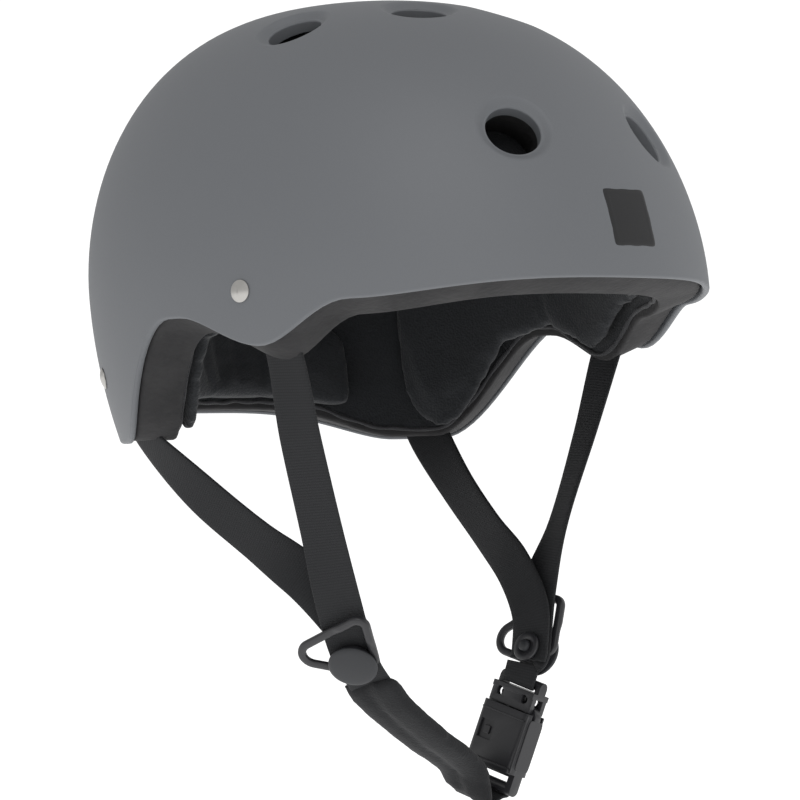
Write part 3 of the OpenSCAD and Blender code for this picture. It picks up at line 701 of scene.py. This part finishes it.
def tube(path, radius, sides=10, closed=False):
    """Round tube: at each point of the path a circle in the plane across its direction."""
    path = np.asarray(path, float)
    run = np.roll(path, -1, 0) - np.roll(path, 1, 0)
    if not closed:
        run[0], run[-1] = path[1] - path[0], path[-1] - path[-2]
    run = unit(run)
    one = unit(np.cross(run, (0.13, 0.21, 0.97)))
    two = np.cross(run, one)
    t = 2 * np.pi * np.arange(sides) / sides
    ring = (np.cos(t)[None, :, None] * one[:, None] + np.sin(t)[None, :, None] * two[:, None])
    return (path[:, None] + ring * np.reshape(radius, (-1, 1, 1))).reshape(-1, 3)


turn = 2 * np.pi * np.arange(480) / 480
hem_path = lining_point(turn, 0.0 * turn, LINING_IN + 0.1)
outward(piece("hem_roll", tube(hem_path, 0.9 + 0.15 * np.sin(53 * turn)),
              skin(480, 10, True, True), hem_grey, "helmet", ()))

# %% [markdown]
# ## Comfort pads
# Each pad is a foam core in a sewn cloth cover. It starts as a slab that is thinner than the
# real pad and round at its corners, a short cloth simulation blows it up against its own
# skin, and a subdivision smooths the folds. The move of any point is capped, so that a pad
# stays in the space that its solid holds.

# %% Puffing
def puff(obj, cap, voxel=0.0022, pressure=4.0):
    """Remeshes a closed piece, runs a short cloth simulation under pressure and caps the move."""
    bpy.context.view_layer.objects.active = obj
    for other in bpy.context.selected_objects:
        other.select_set(False)
    obj.select_set(True)
    even = obj.modifiers.new("even", "REMESH")
    even.mode = "VOXEL"
    even.voxel_size = voxel
    bpy.ops.object.modifier_apply(modifier=even.name)
    rest = np.empty(len(obj.data.vertices) * 3)
    obj.data.vertices.foreach_get("co", rest)
    cloth = obj.modifiers.new("cloth", "CLOTH")
    cloth.settings.quality = 5
    cloth.settings.use_pressure = True
    cloth.settings.uniform_pressure_force = pressure
    cloth.settings.effector_weights.gravity = 0
    cloth.point_cache.frame_start = 1
    cloth.point_cache.frame_end = 20
    for f in range(1, 21):
        bpy.context.scene.frame_set(f)
    ready = obj.evaluated_get(bpy.context.evaluated_depsgraph_get())
    moved = np.empty(len(rest))
    ready.data.vertices.foreach_get("co", moved)
    step = (moved - rest).reshape(-1, 3)
    size = np.linalg.norm(step, axis=1, keepdims=True)
    step *= np.minimum(1, cap / np.maximum(size, 1e-9))
    obj.modifiers.clear()
    obj.data.vertices.foreach_set("co", (rest.reshape(-1, 3) + step).ravel())
    bpy.context.scene.frame_set(1)
    fine = obj.modifiers.new("fine", "SUBSURF")
    fine.levels = fine.render_levels = 1
    obj.data.polygons.foreach_set("use_smooth", np.ones(len(obj.data.polygons), bool))
    obj.data.update()
    print(obj.name, "puffed", round(float(size.max()) * 1000, 2), "mm, kept", round(cap * 1000, 2))
    return obj


def pad_grid(place_of, thick, cols=96, rows=20, rim_share=0.62):
    """Closed pad from a map (u, v, depth) to points: u and v run -1 to 1 inside a rounded
    square, and the two faces part by the pillow profile (1 - m^4) of the distance m from the
    middle, so that the sides are thin."""
    t = 2 * np.pi * np.arange(cols) / cols
    m = np.linspace(0, 1, rows) ** 0.7
    unit_u = np.sign(np.cos(t)) * np.abs(np.cos(t)) ** (2 / 5)
    unit_v = np.sign(np.sin(t)) * np.abs(np.sin(t)) ** (2 / 5)
    u, v = m[:, None] * unit_u, m[:, None] * unit_v
    swell = rim_share + (1 - rim_share) * np.clip(1 - m ** 5, 0, 1) ** 0.5
    half = thick / 2 * swell[:, None] + 0 * u
    front = place_of(u, v, thick / 2 - half)
    back = place_of(u, v, thick / 2 + half)
    grid = np.concatenate([front, back[::-1]], axis=0)
    return grid.reshape(-1, 3), skin(2 * rows, cols, False, True)


def dome_pad(name, a0, a1, lift, top_z, inset, thick, cap, flip=False, shrink=0.96):
    """Pad against the inside of the dome from angle a0 to a1 in degrees."""
    def place_of(u, v, depth):
        a = np.radians((a0 + a1) / 2 + (a1 - a0) / 2 * u * shrink)
        low = rim_height(plan(a) * np.sin(a)) + lift
        z = (low + top_z) / 2 + (top_z - low) / 2 * v * shrink
        p = dome(a, z, inset + 0 * depth)
        inward = -dome_out(a, z)
        p = p + inward * depth[..., None]
        return flip_x(p) if flip else p
    pts, fcs = pad_grid(place_of, thick)
    obj = outward(piece(name, pts, fcs, pad_black, None, (name.replace("cushion", "pad"),)))
    puff(obj, cap)
    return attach(obj, "helmet")


PAD_IN = 25.2
dome_pad("brow_cushion", 232, 308, -7, 30, PAD_IN, 5, 0.0012)
dome_pad("rear_cushion", 52, 128, 3, -8, PAD_IN, 8, 0.002)
dome_pad("side_cushion_right", 138, 226, -3, 42, PAD_IN, 5, 0.0014)
dome_pad("side_cushion_left", 138, 226, -3, 42, PAD_IN, 5, 0.0014, flip=True)


def crown_place(u, v, depth):
    """Round pad under the crown, dished like the dome's top."""
    flat_r = 36
    x, y = u * flat_r, v * flat_r
    drop = 2.2 * ((x ** 2 + y ** 2) / flat_r ** 2)
    return np.stack([x, y + BACK, 92.6 - drop - depth], axis=-1)


pts, fcs = pad_grid(crown_place, 5)
crown = outward(piece("crown_cushion", pts, fcs, pad_black, None, ("crown_pad",)))
puff(crown, 0.0012)
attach(crown, "helmet")

# %% Hook patches
# Small squares of hook tape hold the pads; only slivers of them show between pad and lining.
patch_pts, patch_faces, made = [], [], 0
for a_mid, mirrored in ((246, 0), (294, 0), (62, 0), (118, 0), (150, 0), (178, 0), (210, 0),
                        (150, 1), (178, 1), (210, 1)):
    aa, hh = np.meshgrid(np.radians(a_mid + np.linspace(-5, 5, 9)), np.linspace(0, 1, 7), indexing="ij")
    if a_mid in (150, 178, 210):
        base = np.abs(rim_height(plan(aa) * np.sin(aa))) + 12
        zz = base + (36 - base) * hh
    else:
        base = rim_height(plan(aa) * np.sin(aa)) + (9 if a_mid > 180 else 12)
        zz = base + ((26 if a_mid > 180 else -22) - base) * hh
    both = [dome(aa, zz, inset) for inset in (22.8, 24.6)]
    block = np.concatenate([both[0], both[1][:, ::-1]], axis=1)
    block = flip_x(block) if mirrored else block
    patch_pts.append(block.reshape(-1, 3))
    patch_faces += skin(9, 14, False, True, made)
    patch_faces += [list(range(made, made + 14)), list(range(made + 8 * 14, made + 9 * 14))[::-1]]
    made += 9 * 14
outward(piece("hook_squares", np.concatenate(patch_pts), patch_faces, hook_black, "helmet",
              ("hook_patches",), smooth=False))

# %% [markdown]
# ## Webbing
# The straps are 19 mm tape with fine cross ribs. A tape is a flat rounded profile carried
# along a smooth path, with the direction of its width given at each point, so it can twist.
# Its map is in millimetres, and the ribs follow it round every bend.

# %% Path and tape
TAPE_W, TAPE_T = 19.0, 1.4


def through(p, steps=8):
    """Smooth curve through points: each stretch is the cubic that leaves and meets its ends
    along the line between their neighbours."""
    p = np.asarray(p, float)
    q = np.concatenate([p[:1], p, p[-1:]])
    t = (np.arange(steps) / steps)[None, :, None]
    a, b, c, d = q[:-3, None], q[1:-2, None], q[2:-1, None], q[3:, None]
    curve = 0.5 * (2 * b + (c - a) * t + (2 * a - 5 * b + 4 * c - d) * t ** 2
                   + (3 * b - a - 3 * c + d) * t ** 3)
    return np.concatenate([curve.reshape(-1, p.shape[1]), p[-1:]])


def carry(path, across, profile):
    """Profile [(along width, along thickness)] at every point of a path."""
    run = np.gradient(path, axis=0)
    run = unit(run)
    wide = unit(across - run * (across * run).sum(-1, keepdims=True))
    face = np.cross(run, wide)
    return (path[:, None] + profile[None, :, :1] * wide[:, None] + profile[None, :, 1:] * face[:, None])


def tape_profile(width, thick, sides=20):
    """Flat loop: straight faces joined by half circles."""
    flat_x = np.linspace(-0.5, 0.5, sides // 2 - 2) * (width - thick)
    t = np.linspace(-np.pi / 2, np.pi / 2, 5)[1:-1]
    end = np.stack([(width - thick) / 2 + thick / 2 * np.cos(t), thick / 2 * np.sin(t)], -1)
    low = np.stack([flat_x, 0 * flat_x - thick / 2], -1)
    return np.concatenate([low, end, -low, -end])


def tape(name, path, across, material, body=None, stands_for=(), slot="webbing", width=TAPE_W,
         thick=TAPE_T):
    """Closed band with a millimetre map on its corners."""
    profile = tape_profile(width, thick)
    rows, cols = len(path), len(profile)
    pts = carry(np.asarray(path), np.asarray(across), profile)
    faces = skin(rows, cols, False, True)
    length = np.concatenate([[0], np.cumsum(np.linalg.norm(np.diff(path, axis=0), axis=1))])
    u = np.broadcast_to(profile[:, 0], (rows, cols)).ravel()
    v = np.broadcast_to(length[:, None], (rows, cols)).ravel()
    corners = np.array(faces).ravel()
    caps = [list(range(cols)), list(range((rows - 1) * cols, rows * cols))[::-1]]
    ends = np.concatenate([np.array(c) for c in caps])
    both = np.concatenate([corners, ends])
    obj = piece(name, pts.reshape(-1, 3), faces + caps, material, None, stands_for,
                cloth=np.stack([u[both], v[both]], -1))
    outward(obj)
    print(name, round(float(length[-1])), "mm long")
    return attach(obj, body) if body else obj


# %% Guide axes and strap routes
def guide_axes(middle, out):
    """A guide's outward, rearward and upward directions."""
    out = unit(out)
    rear = unit(np.array([-out[1], out[0], 0]) * (-1 if out[0] < 0 else 1))
    up = unit(np.cross(out, rear))
    return np.array(middle, float), out, rear, up * np.sign(up[2])


GUIDES = {"right": guide_axes((-55, -24, -142), (-0.62, -0.45, -0.64)),
          "left": guide_axes((57.5, -20, -141), (0.93, 0.10, -0.35))}
GUIDE_T, GAP, CAP_REAR, CAP_UP = 2.4, 0.4, -4.0, -10.5
FRONT_LAYER = GUIDE_T / 2 + GAP + TAPE_T / 2
REAR_LAYER = FRONT_LAYER + TAPE_T + GAP
PULL = unit((-0.24, 0.23, -0.94))
MOUTH = np.array((47.8, -18, -174.5))
ACROSS = unit((0, -PULL[2], PULL[1]))
OUTWARD = np.cross(ACROSS, -PULL)


def on_guide(side, out, rear, up):
    """Point given along a guide's own directions."""
    mid, o, r, u = GUIDES[side]
    return mid + o * out + r * rear + u * up


def on_buckle(x, y, z):
    """Point given along the buckle's own directions: outward, rearward, up out of the mouth."""
    return MOUTH + OUTWARD * x + ACROSS * y - PULL * z


behind = on_guide("right", -FRONT_LAYER - 2.5, -9.5, 0)
UP_R = GUIDES["right"][3]
SWING = behind + UP_R * (((MOUTH + PULL * 8 - behind) @ PULL) / (UP_R @ PULL))
CHIN_RUN = np.array((7.5, 0.6, -6.6))
WEB_IN = 3.6 + TAPE_T / 2 + 1
print("chin strap swings about", SWING.round(1))


def other(p, right):
    """A point of the left side brought over to the right, or a point left as it is."""
    return np.asarray(p) if right else flip_x(p)


def along_dome(a, z):
    """Level direction along the dome at angle a and height z."""
    d = np.radians(1)
    return unit(dome(a + d, z, 0) - dome(a - d, z, 0))


def front_route(right):
    """Rivet, slot in the foam, then straight down to the guide, as on the wearer's right."""
    side, a, z = ("right" if right else "left"), np.radians(193.4), -3.3
    leave = dome(a + np.radians(1.5), -24.5, 21.6 - TAPE_T * 2)
    top = other(on_guide(side, -FRONT_LAYER - (3 if right else 0.8), -1, 16), right)
    last = SWING - unit(CHIN_RUN) * 1.9 if right else \
        other(on_guide(side, -FRONT_LAYER, CAP_REAR, CAP_UP - 4.2), False)
    level = along_dome(a, z)
    ways = np.array([level, level, level, [0.1, -1, 0], [0.3, -1, 0],
                     [0.4, -1, 0], *[other(-GUIDES[side][2], right)] * 3])
    spots = [dome(a, z + 9, WEB_IN), dome(a, z, WEB_IN), dome(a, z - 8, WEB_IN + 3.4), leave,
             leave + (top - leave) * 0.35 + (-1, 0, 0), leave + (top - leave) * 0.72 + (-0.5, 0, 0),
             top, other(on_guide(side, -FRONT_LAYER, CAP_REAR, CAP_UP), right), last]
    return np.array(spots), ways


def rear_route(right):
    """Rivet, out under the nape edge, then forward and down to the guide."""
    side, a, z = ("right" if right else "left"), np.radians(142.8), -34.0
    leave = dome(a + np.radians(1), -58.0, WEB_IN + 4)
    top = other(on_guide(side, -REAR_LAYER - (5 if right else 4), 1, 17), right)
    end = other(-GUIDES[side][2], right)
    level = along_dome(a, z)
    ways = np.array([level, level, level + (0, 0, 0.1), level + (0.1, 0, 0.4),
                     [-0.1, -0.6, 0.8], [0, -0.6, 0.8], end + (0, 0, 0.5), end, end, end])
    spots = [dome(a, z + 9, WEB_IN), dome(a, z, WEB_IN), dome(a, z - 12, WEB_IN + 2), leave,
             leave + (top - leave) * 0.3 + (0, 0, -4), leave + (top - leave) * 0.62 + (0, 0, -4),
             leave + (top - leave) * 0.86 + (0, 0, -3),
             other(on_guide(side, -REAR_LAYER - (2 if right else 1.6), -1, 6), right),
             other(on_guide(side, -REAR_LAYER, CAP_REAR, CAP_UP), right),
             other(on_guide(side, -REAR_LAYER, CAP_REAR, CAP_UP - 5), right)]
    return np.array(spots), ways


# %% Straps
for right in (True, False):
    word = "right" if right else "left"
    path, ways = front_route(right)
    sway = [other(through(path), right), through(ways) * ((1, 1, 1) if right else (-1, 1, 1))]
    if not right:
        tape("front_tape_left", *sway, webbing_black, "helmet", ("front_strap_left",))
    else:
        front_right = sway
    path, ways = rear_route(right)
    tape("rear_tape_" + word, other(through(path), right),
         through(ways) * ((1, 1, 1) if right else (-1, 1, 1)), webbing_black, "helmet",
         ("rear_strap_" + word,))

# %% [markdown]
# ## Chin strap
# On the real helmet one tape runs from the right rivet through the guide, inside the chin
# pad and round the socket's bar. So it is one piece here too: one tape along one smooth
# path from the rivet past the guide's cap to the bar. It rides on no body.

# %% One tape from rivet to buckle
END_BAR = on_buckle(0, 0, -32.3)
WRAP_R = 2.5 + TAPE_T / 2 + 0.9
chin_spots = np.array([SWING, SWING + CHIN_RUN, (-1.9, -16, -183.5), (20, -13, -196.5),
                       END_BAR + (-9, -0.4, 0) + PULL * (WRAP_R + 1.6), END_BAR + PULL * WRAP_R,
                       END_BAR + unit(PULL + OUTWARD) * WRAP_R, END_BAR + OUTWARD * WRAP_R])
chin_ways = np.array([ACROSS + (-0.4, 0, -0.2), (-0.3, 1, 0), (-0.1, 1, -0.1), (-0.1, 1, 0),
                      ACROSS, ACROSS, ACROSS, ACROSS])
chin_path, chin_across = through(chin_spots), through(chin_ways)
whole = np.concatenate([front_right[0][:-1], chin_path])
whole_ways = np.concatenate([front_right[1][:-1], -chin_across])
long_tape = tape("chin_tape", whole, whole_ways, webbing_black, None,
                 ("front_strap_right", "chin_strap"))
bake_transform(long_tape)

# %% Short tape to the plug
start = on_guide("left", -FRONT_LAYER, CAP_REAR + 3, CAP_UP - 6)
stop = on_buckle(-3.2, 0, 13)
short = np.array([start, start + (stop - start) * 0.5, on_buckle(-3.2, 0, 12.2),
                  on_buckle(-2.6, 0, 9.8)])
ways = np.array([GUIDES["left"][2], GUIDES["left"][2] + (ACROSS - GUIDES["left"][2]) * 0.5,
                 ACROSS, ACROSS])
tape("plug_tape", through(short), through(ways), webbing_black, "helmet", ("buckle_strap",),
     width=18.0)

# %% [markdown]
# ## Chin pad
# A soft sleeve of two stitched channels that the tape runs through. Its profile is a flat
# pillow with a pinch along the middle seam, carried along the tape's own path from the snap
# cap on, with its ends drawn in, then puffed a little.

# %% Chin sleeve
length = np.concatenate([[0], np.cumsum(np.linalg.norm(np.diff(chin_path, axis=0), axis=1))])
SLEEVE_L, SLEEVE_AT, before = 73.4, 3.2, 7.0
lead_in = SWING - unit(CHIN_RUN) * before
share = np.linspace(0, 1, 64)
spots = SLEEVE_L * share + SLEEVE_AT - (before + SLEEVE_AT) * (1 - share) ** 1.5
long_path = np.concatenate([[lead_in], chin_path])
long_across = np.concatenate([[chin_across[0]], chin_across])
long_run = np.concatenate([[-before], length])
sleeve_path = np.stack([np.interp(spots, long_run, long_path[:, i]) for i in range(3)], -1)
sleeve_across = np.stack([np.interp(spots, long_run, long_across[:, i]) for i in range(3)], -1)
t = 2 * np.pi * np.arange(64) / 64
x = np.sign(np.cos(t)) * np.abs(np.cos(t)) ** 0.75
half_t = np.sign(np.sin(t)) * np.abs(np.sin(t)) ** 0.7
seam = 1 - 0.5 * np.exp(-((x - 0.05) / 0.13) ** 2)
s = np.linspace(0, 1, 64)
end_close = np.clip(1 - np.abs(2 * s - 1) ** 14, 0, 1) ** 0.5
ripple = 1 + 0.012 * np.sin(34 * s) + 0.01 * np.sin(71 * s + 1)
wide = 12.9 * (0.93 + 0.07 * end_close) * ripple
thick = 4.0 * (0.25 + 0.75 * end_close)
run = unit(np.gradient(sleeve_path, axis=0))
wide_way = unit(sleeve_across - run * (sleeve_across * run).sum(-1, keepdims=True))
face_way = np.cross(run, wide_way)
slant = (x * 3.2)[None, :] * (s ** 3)[:, None] * -1
pts = (sleeve_path[:, None] + wide[:, None, None] * x[None, :, None] * wide_way[:, None]
       + thick[:, None, None] * (half_t * seam)[None, :, None] * face_way[:, None]
       + slant[..., None] * run[:, None])
faces = skin(64, 64, False, True) + [list(range(64)), list(range(63 * 64, 64 * 64))[::-1]]
sleeve = outward(piece("chin_sleeve", pts.reshape(-1, 3), faces, chin_cloth, None, ("chin_pad",)))
puff(sleeve, 0.0006, voxel=0.0022, pressure=2.0)
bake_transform(sleeve)

# %% Seam of the chin sleeve
# A corded seam lies in the pinch on each face.
for tag, sign in (("outer", 1), ("inner", -1)):
    off = 4.0 * 0.52 * end_close[2:-2] * sign
    line = sleeve_path[2:-2] + wide_way[2:-2] * 0.6 + face_way[2:-2] * off[:, None]
    last = (len(line) - 1) * 10
    ends = [list(range(10)), list(range(last, last + 10))[::-1]]
    cord_line = outward(piece("sleeve_seam_" + tag, tube(line, 0.45),
                              skin(len(line), 10, False, True) + ends,
                              chin_cloth, None, ()))
    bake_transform(cord_line)

# %% [markdown]
# ## Strap guides and snap caps
# A guide is a rounded three-cornered loop moulded in glossy black plastic, with a plate
# that carries the round cap. The loop's line is the outline of three discs and a larger
# one round the cap; a rounded bar is carried along it.

# %% Guide outline
DISCS = np.array([[10.5, -5.5, 7.5], [-8.5, 9, 5.2], [-9.5, -8, 5.2], [CAP_REAR, CAP_UP, 6.5]])


def outline(count, inward_by):
    """Convex line round the discs: in each direction, the disc that reaches furthest."""
    t = 2 * np.pi * np.arange(count) / count
    way = np.stack([np.cos(t), np.sin(t)], -1)
    reach = way @ DISCS[:, :2].T + DISCS[:, 2]
    best = np.argmax(reach, axis=1)
    line = DISCS[best, :2] + way * (DISCS[best, 2] - inward_by)[:, None]
    span = np.concatenate([[0], np.cumsum(np.linalg.norm(np.diff(line, axis=0, append=line[:1]),
                                                         axis=1))])
    even = np.linspace(0, span[-1], count, endpoint=False)
    closed = np.concatenate([line, line[:1]])
    return np.stack([np.interp(even, span, closed[:, i]) for i in (0, 1)], -1)


def place_on_guide(side, local):
    """Local (out, rear, up) arrays to points."""
    mid, o, r, u = GUIDES[side]
    return mid + local[..., :1] * o + local[..., 1:2] * r + local[..., 2:] * u


def turned(side, profile, name, material, body, stands_for, count=72, at=(CAP_REAR, CAP_UP)):
    """Solid of revolution about the cap's line, from a profile of (radius, out)."""
    profile = np.asarray(profile, float)
    t = 2 * np.pi * np.arange(count) / count
    local = np.stack([np.broadcast_to(profile[:, 1:], (len(profile), count)),
                      at[0] + profile[:, :1] * np.cos(t), at[1] + profile[:, :1] * np.sin(t)], -1)
    pts = place_on_guide(side, local).reshape(-1, 3)
    return outward(piece(name, pts, skin(len(profile), count, False, True), material, body,
                         stands_for))


for side in ("right", "left"):
    mid_line = outline(160, 1.7)
    tangent = unit(np.roll(mid_line, -1, 0) - np.roll(mid_line, 1, 0))
    normal = np.stack([tangent[:, 1], -tangent[:, 0]], -1)
    t = 2 * np.pi * np.arange(16) / 16
    wide = np.sign(np.cos(t)) * np.abs(np.cos(t)) ** 0.6 * 1.7
    high = np.sign(np.sin(t)) * np.abs(np.sin(t)) ** 0.6 * 1.25
    raised = 0.9 * ease((mid_line @ (-0.5, 0.87) - 4.5) / 4)
    local = np.concatenate([high[None, :, None] * (1 + 0.3 * raised[:, None, None])
                            + raised[:, None, None] * 0.5,
                            mid_line[:, None] + wide[None, :, None] * normal[:, None]], -1)
    ring = outward(piece("guide_loop_" + side, place_on_guide(side, local).reshape(-1, 3),
                         skin(160, 16, True, True), guide_black, "helmet",
                         ("strap_guide_" + side,)))
    turned(side, [(2.46, -1.2), (7.9, -1.2), (8.3, -0.9), (8.3, 0.9), (7.9, 1.2), (2.46, 1.2),
                  (2.46, -1.2)], "guide_plate_" + side, guide_black, "helmet", ())
    rise = 10 * np.sin(np.linspace(0, 1, 14) * np.pi / 2)
    dome_line = [(r, 1.6 + 3.15 - 1.15 * (r / 10) ** 2 - 0.9 * (r / 10) ** 14) for r in rise[::-1]]
    turned(side, [(0.0, 1.65), (9.5, 1.65), (9.9, 1.85), (10.0, 2.2)] + dome_line,
           "snap_cap_" + side, cap_matte, side + "_cap", ("guide_cap_" + side,))
    turned(side, [(0.0, 1.9), (2.38, 1.9), (2.38, -8.8), (2.1, -9.2), (0.0, -9.2)],
           "cap_stud_" + side, cap_matte, side + "_cap", (), count=32)
    deep = -(REAR_LAYER + TAPE_T / 2 + GAP + 0.6)
    turned(side, [(2.46, deep), (5.8, deep), (6.2, deep - 0.4), (6.2, deep - 1.2),
                  (5.8, deep - 1.6), (2.46, deep - 1.6), (2.46, deep)],
           "cap_back_disc_" + side, guide_black, "helmet", ("cap_backs",) if side == "right" else (),
           count=48)

# %% [markdown]
# ## Side-release buckle
# The buckle's moving shapes are exact in the CAD, and its fits matter. So each of its pieces
# is a merged copy of the CAD solid whose hard edges get a small rounded bevel, which is what
# catches the light on moulded plastic. Ribs and a dimple are added on the socket.

# %% Softened copies
def softened(node, body, bevel, material):
    """Copy of a CAD node with merged points, joined flats and rounded hard edges."""
    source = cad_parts[node]
    mesh = source.data.copy()
    mesh.transform(source.matrix_world)
    work = bmesh.new()
    work.from_mesh(mesh)
    bmesh.ops.remove_doubles(work, verts=work.verts, dist=2e-6)
    bmesh.ops.dissolve_limit(work, angle_limit=np.radians(2), verts=work.verts, edges=work.edges)
    work.to_mesh(mesh)
    work.free()
    mesh.materials.clear()
    mesh.materials.append(material)
    mesh.polygons.foreach_set("use_smooth", np.ones(len(mesh.polygons), bool))
    copy = bpy.data.objects.new("moulded_" + node, mesh)
    bpy.context.collection.objects.link(copy)
    soft = copy.modifiers.new("soft", "BEVEL")
    soft.width = bevel
    soft.segments = 2
    soft.limit_method = "ANGLE"
    soft.angle_limit = np.radians(35)
    soft.harden_normals = True
    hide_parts(node)
    print(copy.name, len(mesh.polygons), "faces")
    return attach(copy, body)


softened("buckle_socket", "chin_strap", 0.0005, buckle_black)
softened("buckle_plug", "helmet", 0.0003, buckle_black)
softened("release_arm_front", "front_arm", 0.0003, buckle_black)
softened("release_arm_rear", "rear_arm", 0.0003, buckle_black)


# %% Socket details
def slab_on_buckle(name, mid, size):
    """Rounded block in the buckle's directions: a box whose corners are pulled in by a power
    of 8, so that its edges are round."""
    t, p = np.meshgrid(2 * np.pi * np.arange(40) / 40, np.linspace(-np.pi / 2, np.pi / 2, 21),
                       indexing="ij")
    def soft_power(v):
        return np.sign(v) * np.abs(v) ** 0.22
    local = np.stack([soft_power(np.cos(p)) * soft_power(np.cos(t)),
                      soft_power(np.cos(p)) * soft_power(np.sin(t)), soft_power(np.sin(p))], -1)
    local = local / 2 * np.array(size) + np.array(mid)
    pts = MOUTH + local[..., :1] * OUTWARD + local[..., 1:2] * ACROSS - local[..., 2:] * PULL
    return outward(piece(name, pts.reshape(-1, 3), skin(40, 21, True, False), buckle_black,
                         "chin_strap", ()))


slab_on_buckle("socket_ridge_top", (-5.85, 0, -3.2), (0.7, 25, 0.7))
slab_on_buckle("socket_ridge_low", (-5.85, 0, -24.2), (0.7, 25, 0.8))
slab_on_buckle("socket_ridge_front", (0, -14.0, -13), (8.2, 0.9, 22))
slab_on_buckle("socket_ridge_edge", (-5.0, -13.0, -13), (1.2, 1.1, 25))
slab_on_buckle("socket_dimple", (-5.0, 6.7, -12), (0.9, 3.4, 3.4))
slab_on_buckle("socket_bridge", (0, 0, -26.6), (5.4, 24, 1.6))

# %% [markdown]
# ## Rivets and badge
# The rivets' heads are exact domes in the CAD, so they stay and only get a brushed metal.
# The badge is a plain square patch, a film that follows the dome with slightly round corners.

# %% Metal on the CAD rivets
for node in ("shell_rivets", "rivet_washers"):
    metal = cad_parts[node]
    metal.data.materials.clear()
    metal.data.materials.append(rivet_silver)

# %% Badge
t, m = np.meshgrid(2 * np.pi * np.arange(96) / 96, np.linspace(0, 1, 16), indexing="ij")
square_x = np.sign(np.cos(t)) * np.abs(np.cos(t)) ** 0.12 * 11.2 * m
square_z = np.sign(np.sin(t)) * np.abs(np.sin(t)) ** 0.12 * 11.2 * m + 22.3


def front_face(x, z, raise_by):
    """Front of the dome at a given side place and height, raised a little."""
    w, l = HALF_W, HALF_L
    size = taper(z, CROWN) ** PLAN
    y = -l * np.clip(size - np.abs(x / w) ** PLAN, 0, None) ** (1 / PLAN) + BACK * z / CROWN
    p = np.stack([x, y, z], -1)
    return p + dome_out(np.arctan2(y / l, x / w), z) * raise_by[..., None]


frame_line = 0.12 * np.exp(-((m - 0.86) / 0.035) ** 2)
top_film = front_face(square_x, square_z, 0.22 * (1 - m ** 24) + 0.02 + frame_line)
low_film = front_face(square_x, square_z, -0.3 + 0 * m)
film = np.concatenate([top_film, low_film[:, ::-1]], axis=1)
outward(piece("badge_patch", film.reshape(-1, 3), skin(96, 32, True, False), badge_dark, "helmet",
              ()))

# %% [markdown]
# ## Floor
# The helmet is held up by the head that wears it, so it needs nothing under it. A pale disc
# far below closes the room, and the white room does the rest.

# %% Floor disc
pale = finish("pale_floor", grain, {"Scale": 30, "Blotch Scale": 2, "Blotch": 0.05},
              (0.9, 0.9, 0.9), (0.95, 0.95, 0.95), (0.9, 0.9), 0.0, 0.0001,
              emission_color=(1, 1, 1, 1), emission_strength=0.6)
t = 2 * np.pi * np.arange(128) / 128
disc = np.stack([9000 * np.cos(t), 9000 * np.sin(t), 0 * t - 300], -1)
floor = piece("floor", disc, [list(range(128))], pale)
floor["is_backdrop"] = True

# %% Finish
low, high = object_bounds()
print("visual", [round(v, 4) for v in (*low, *high)])
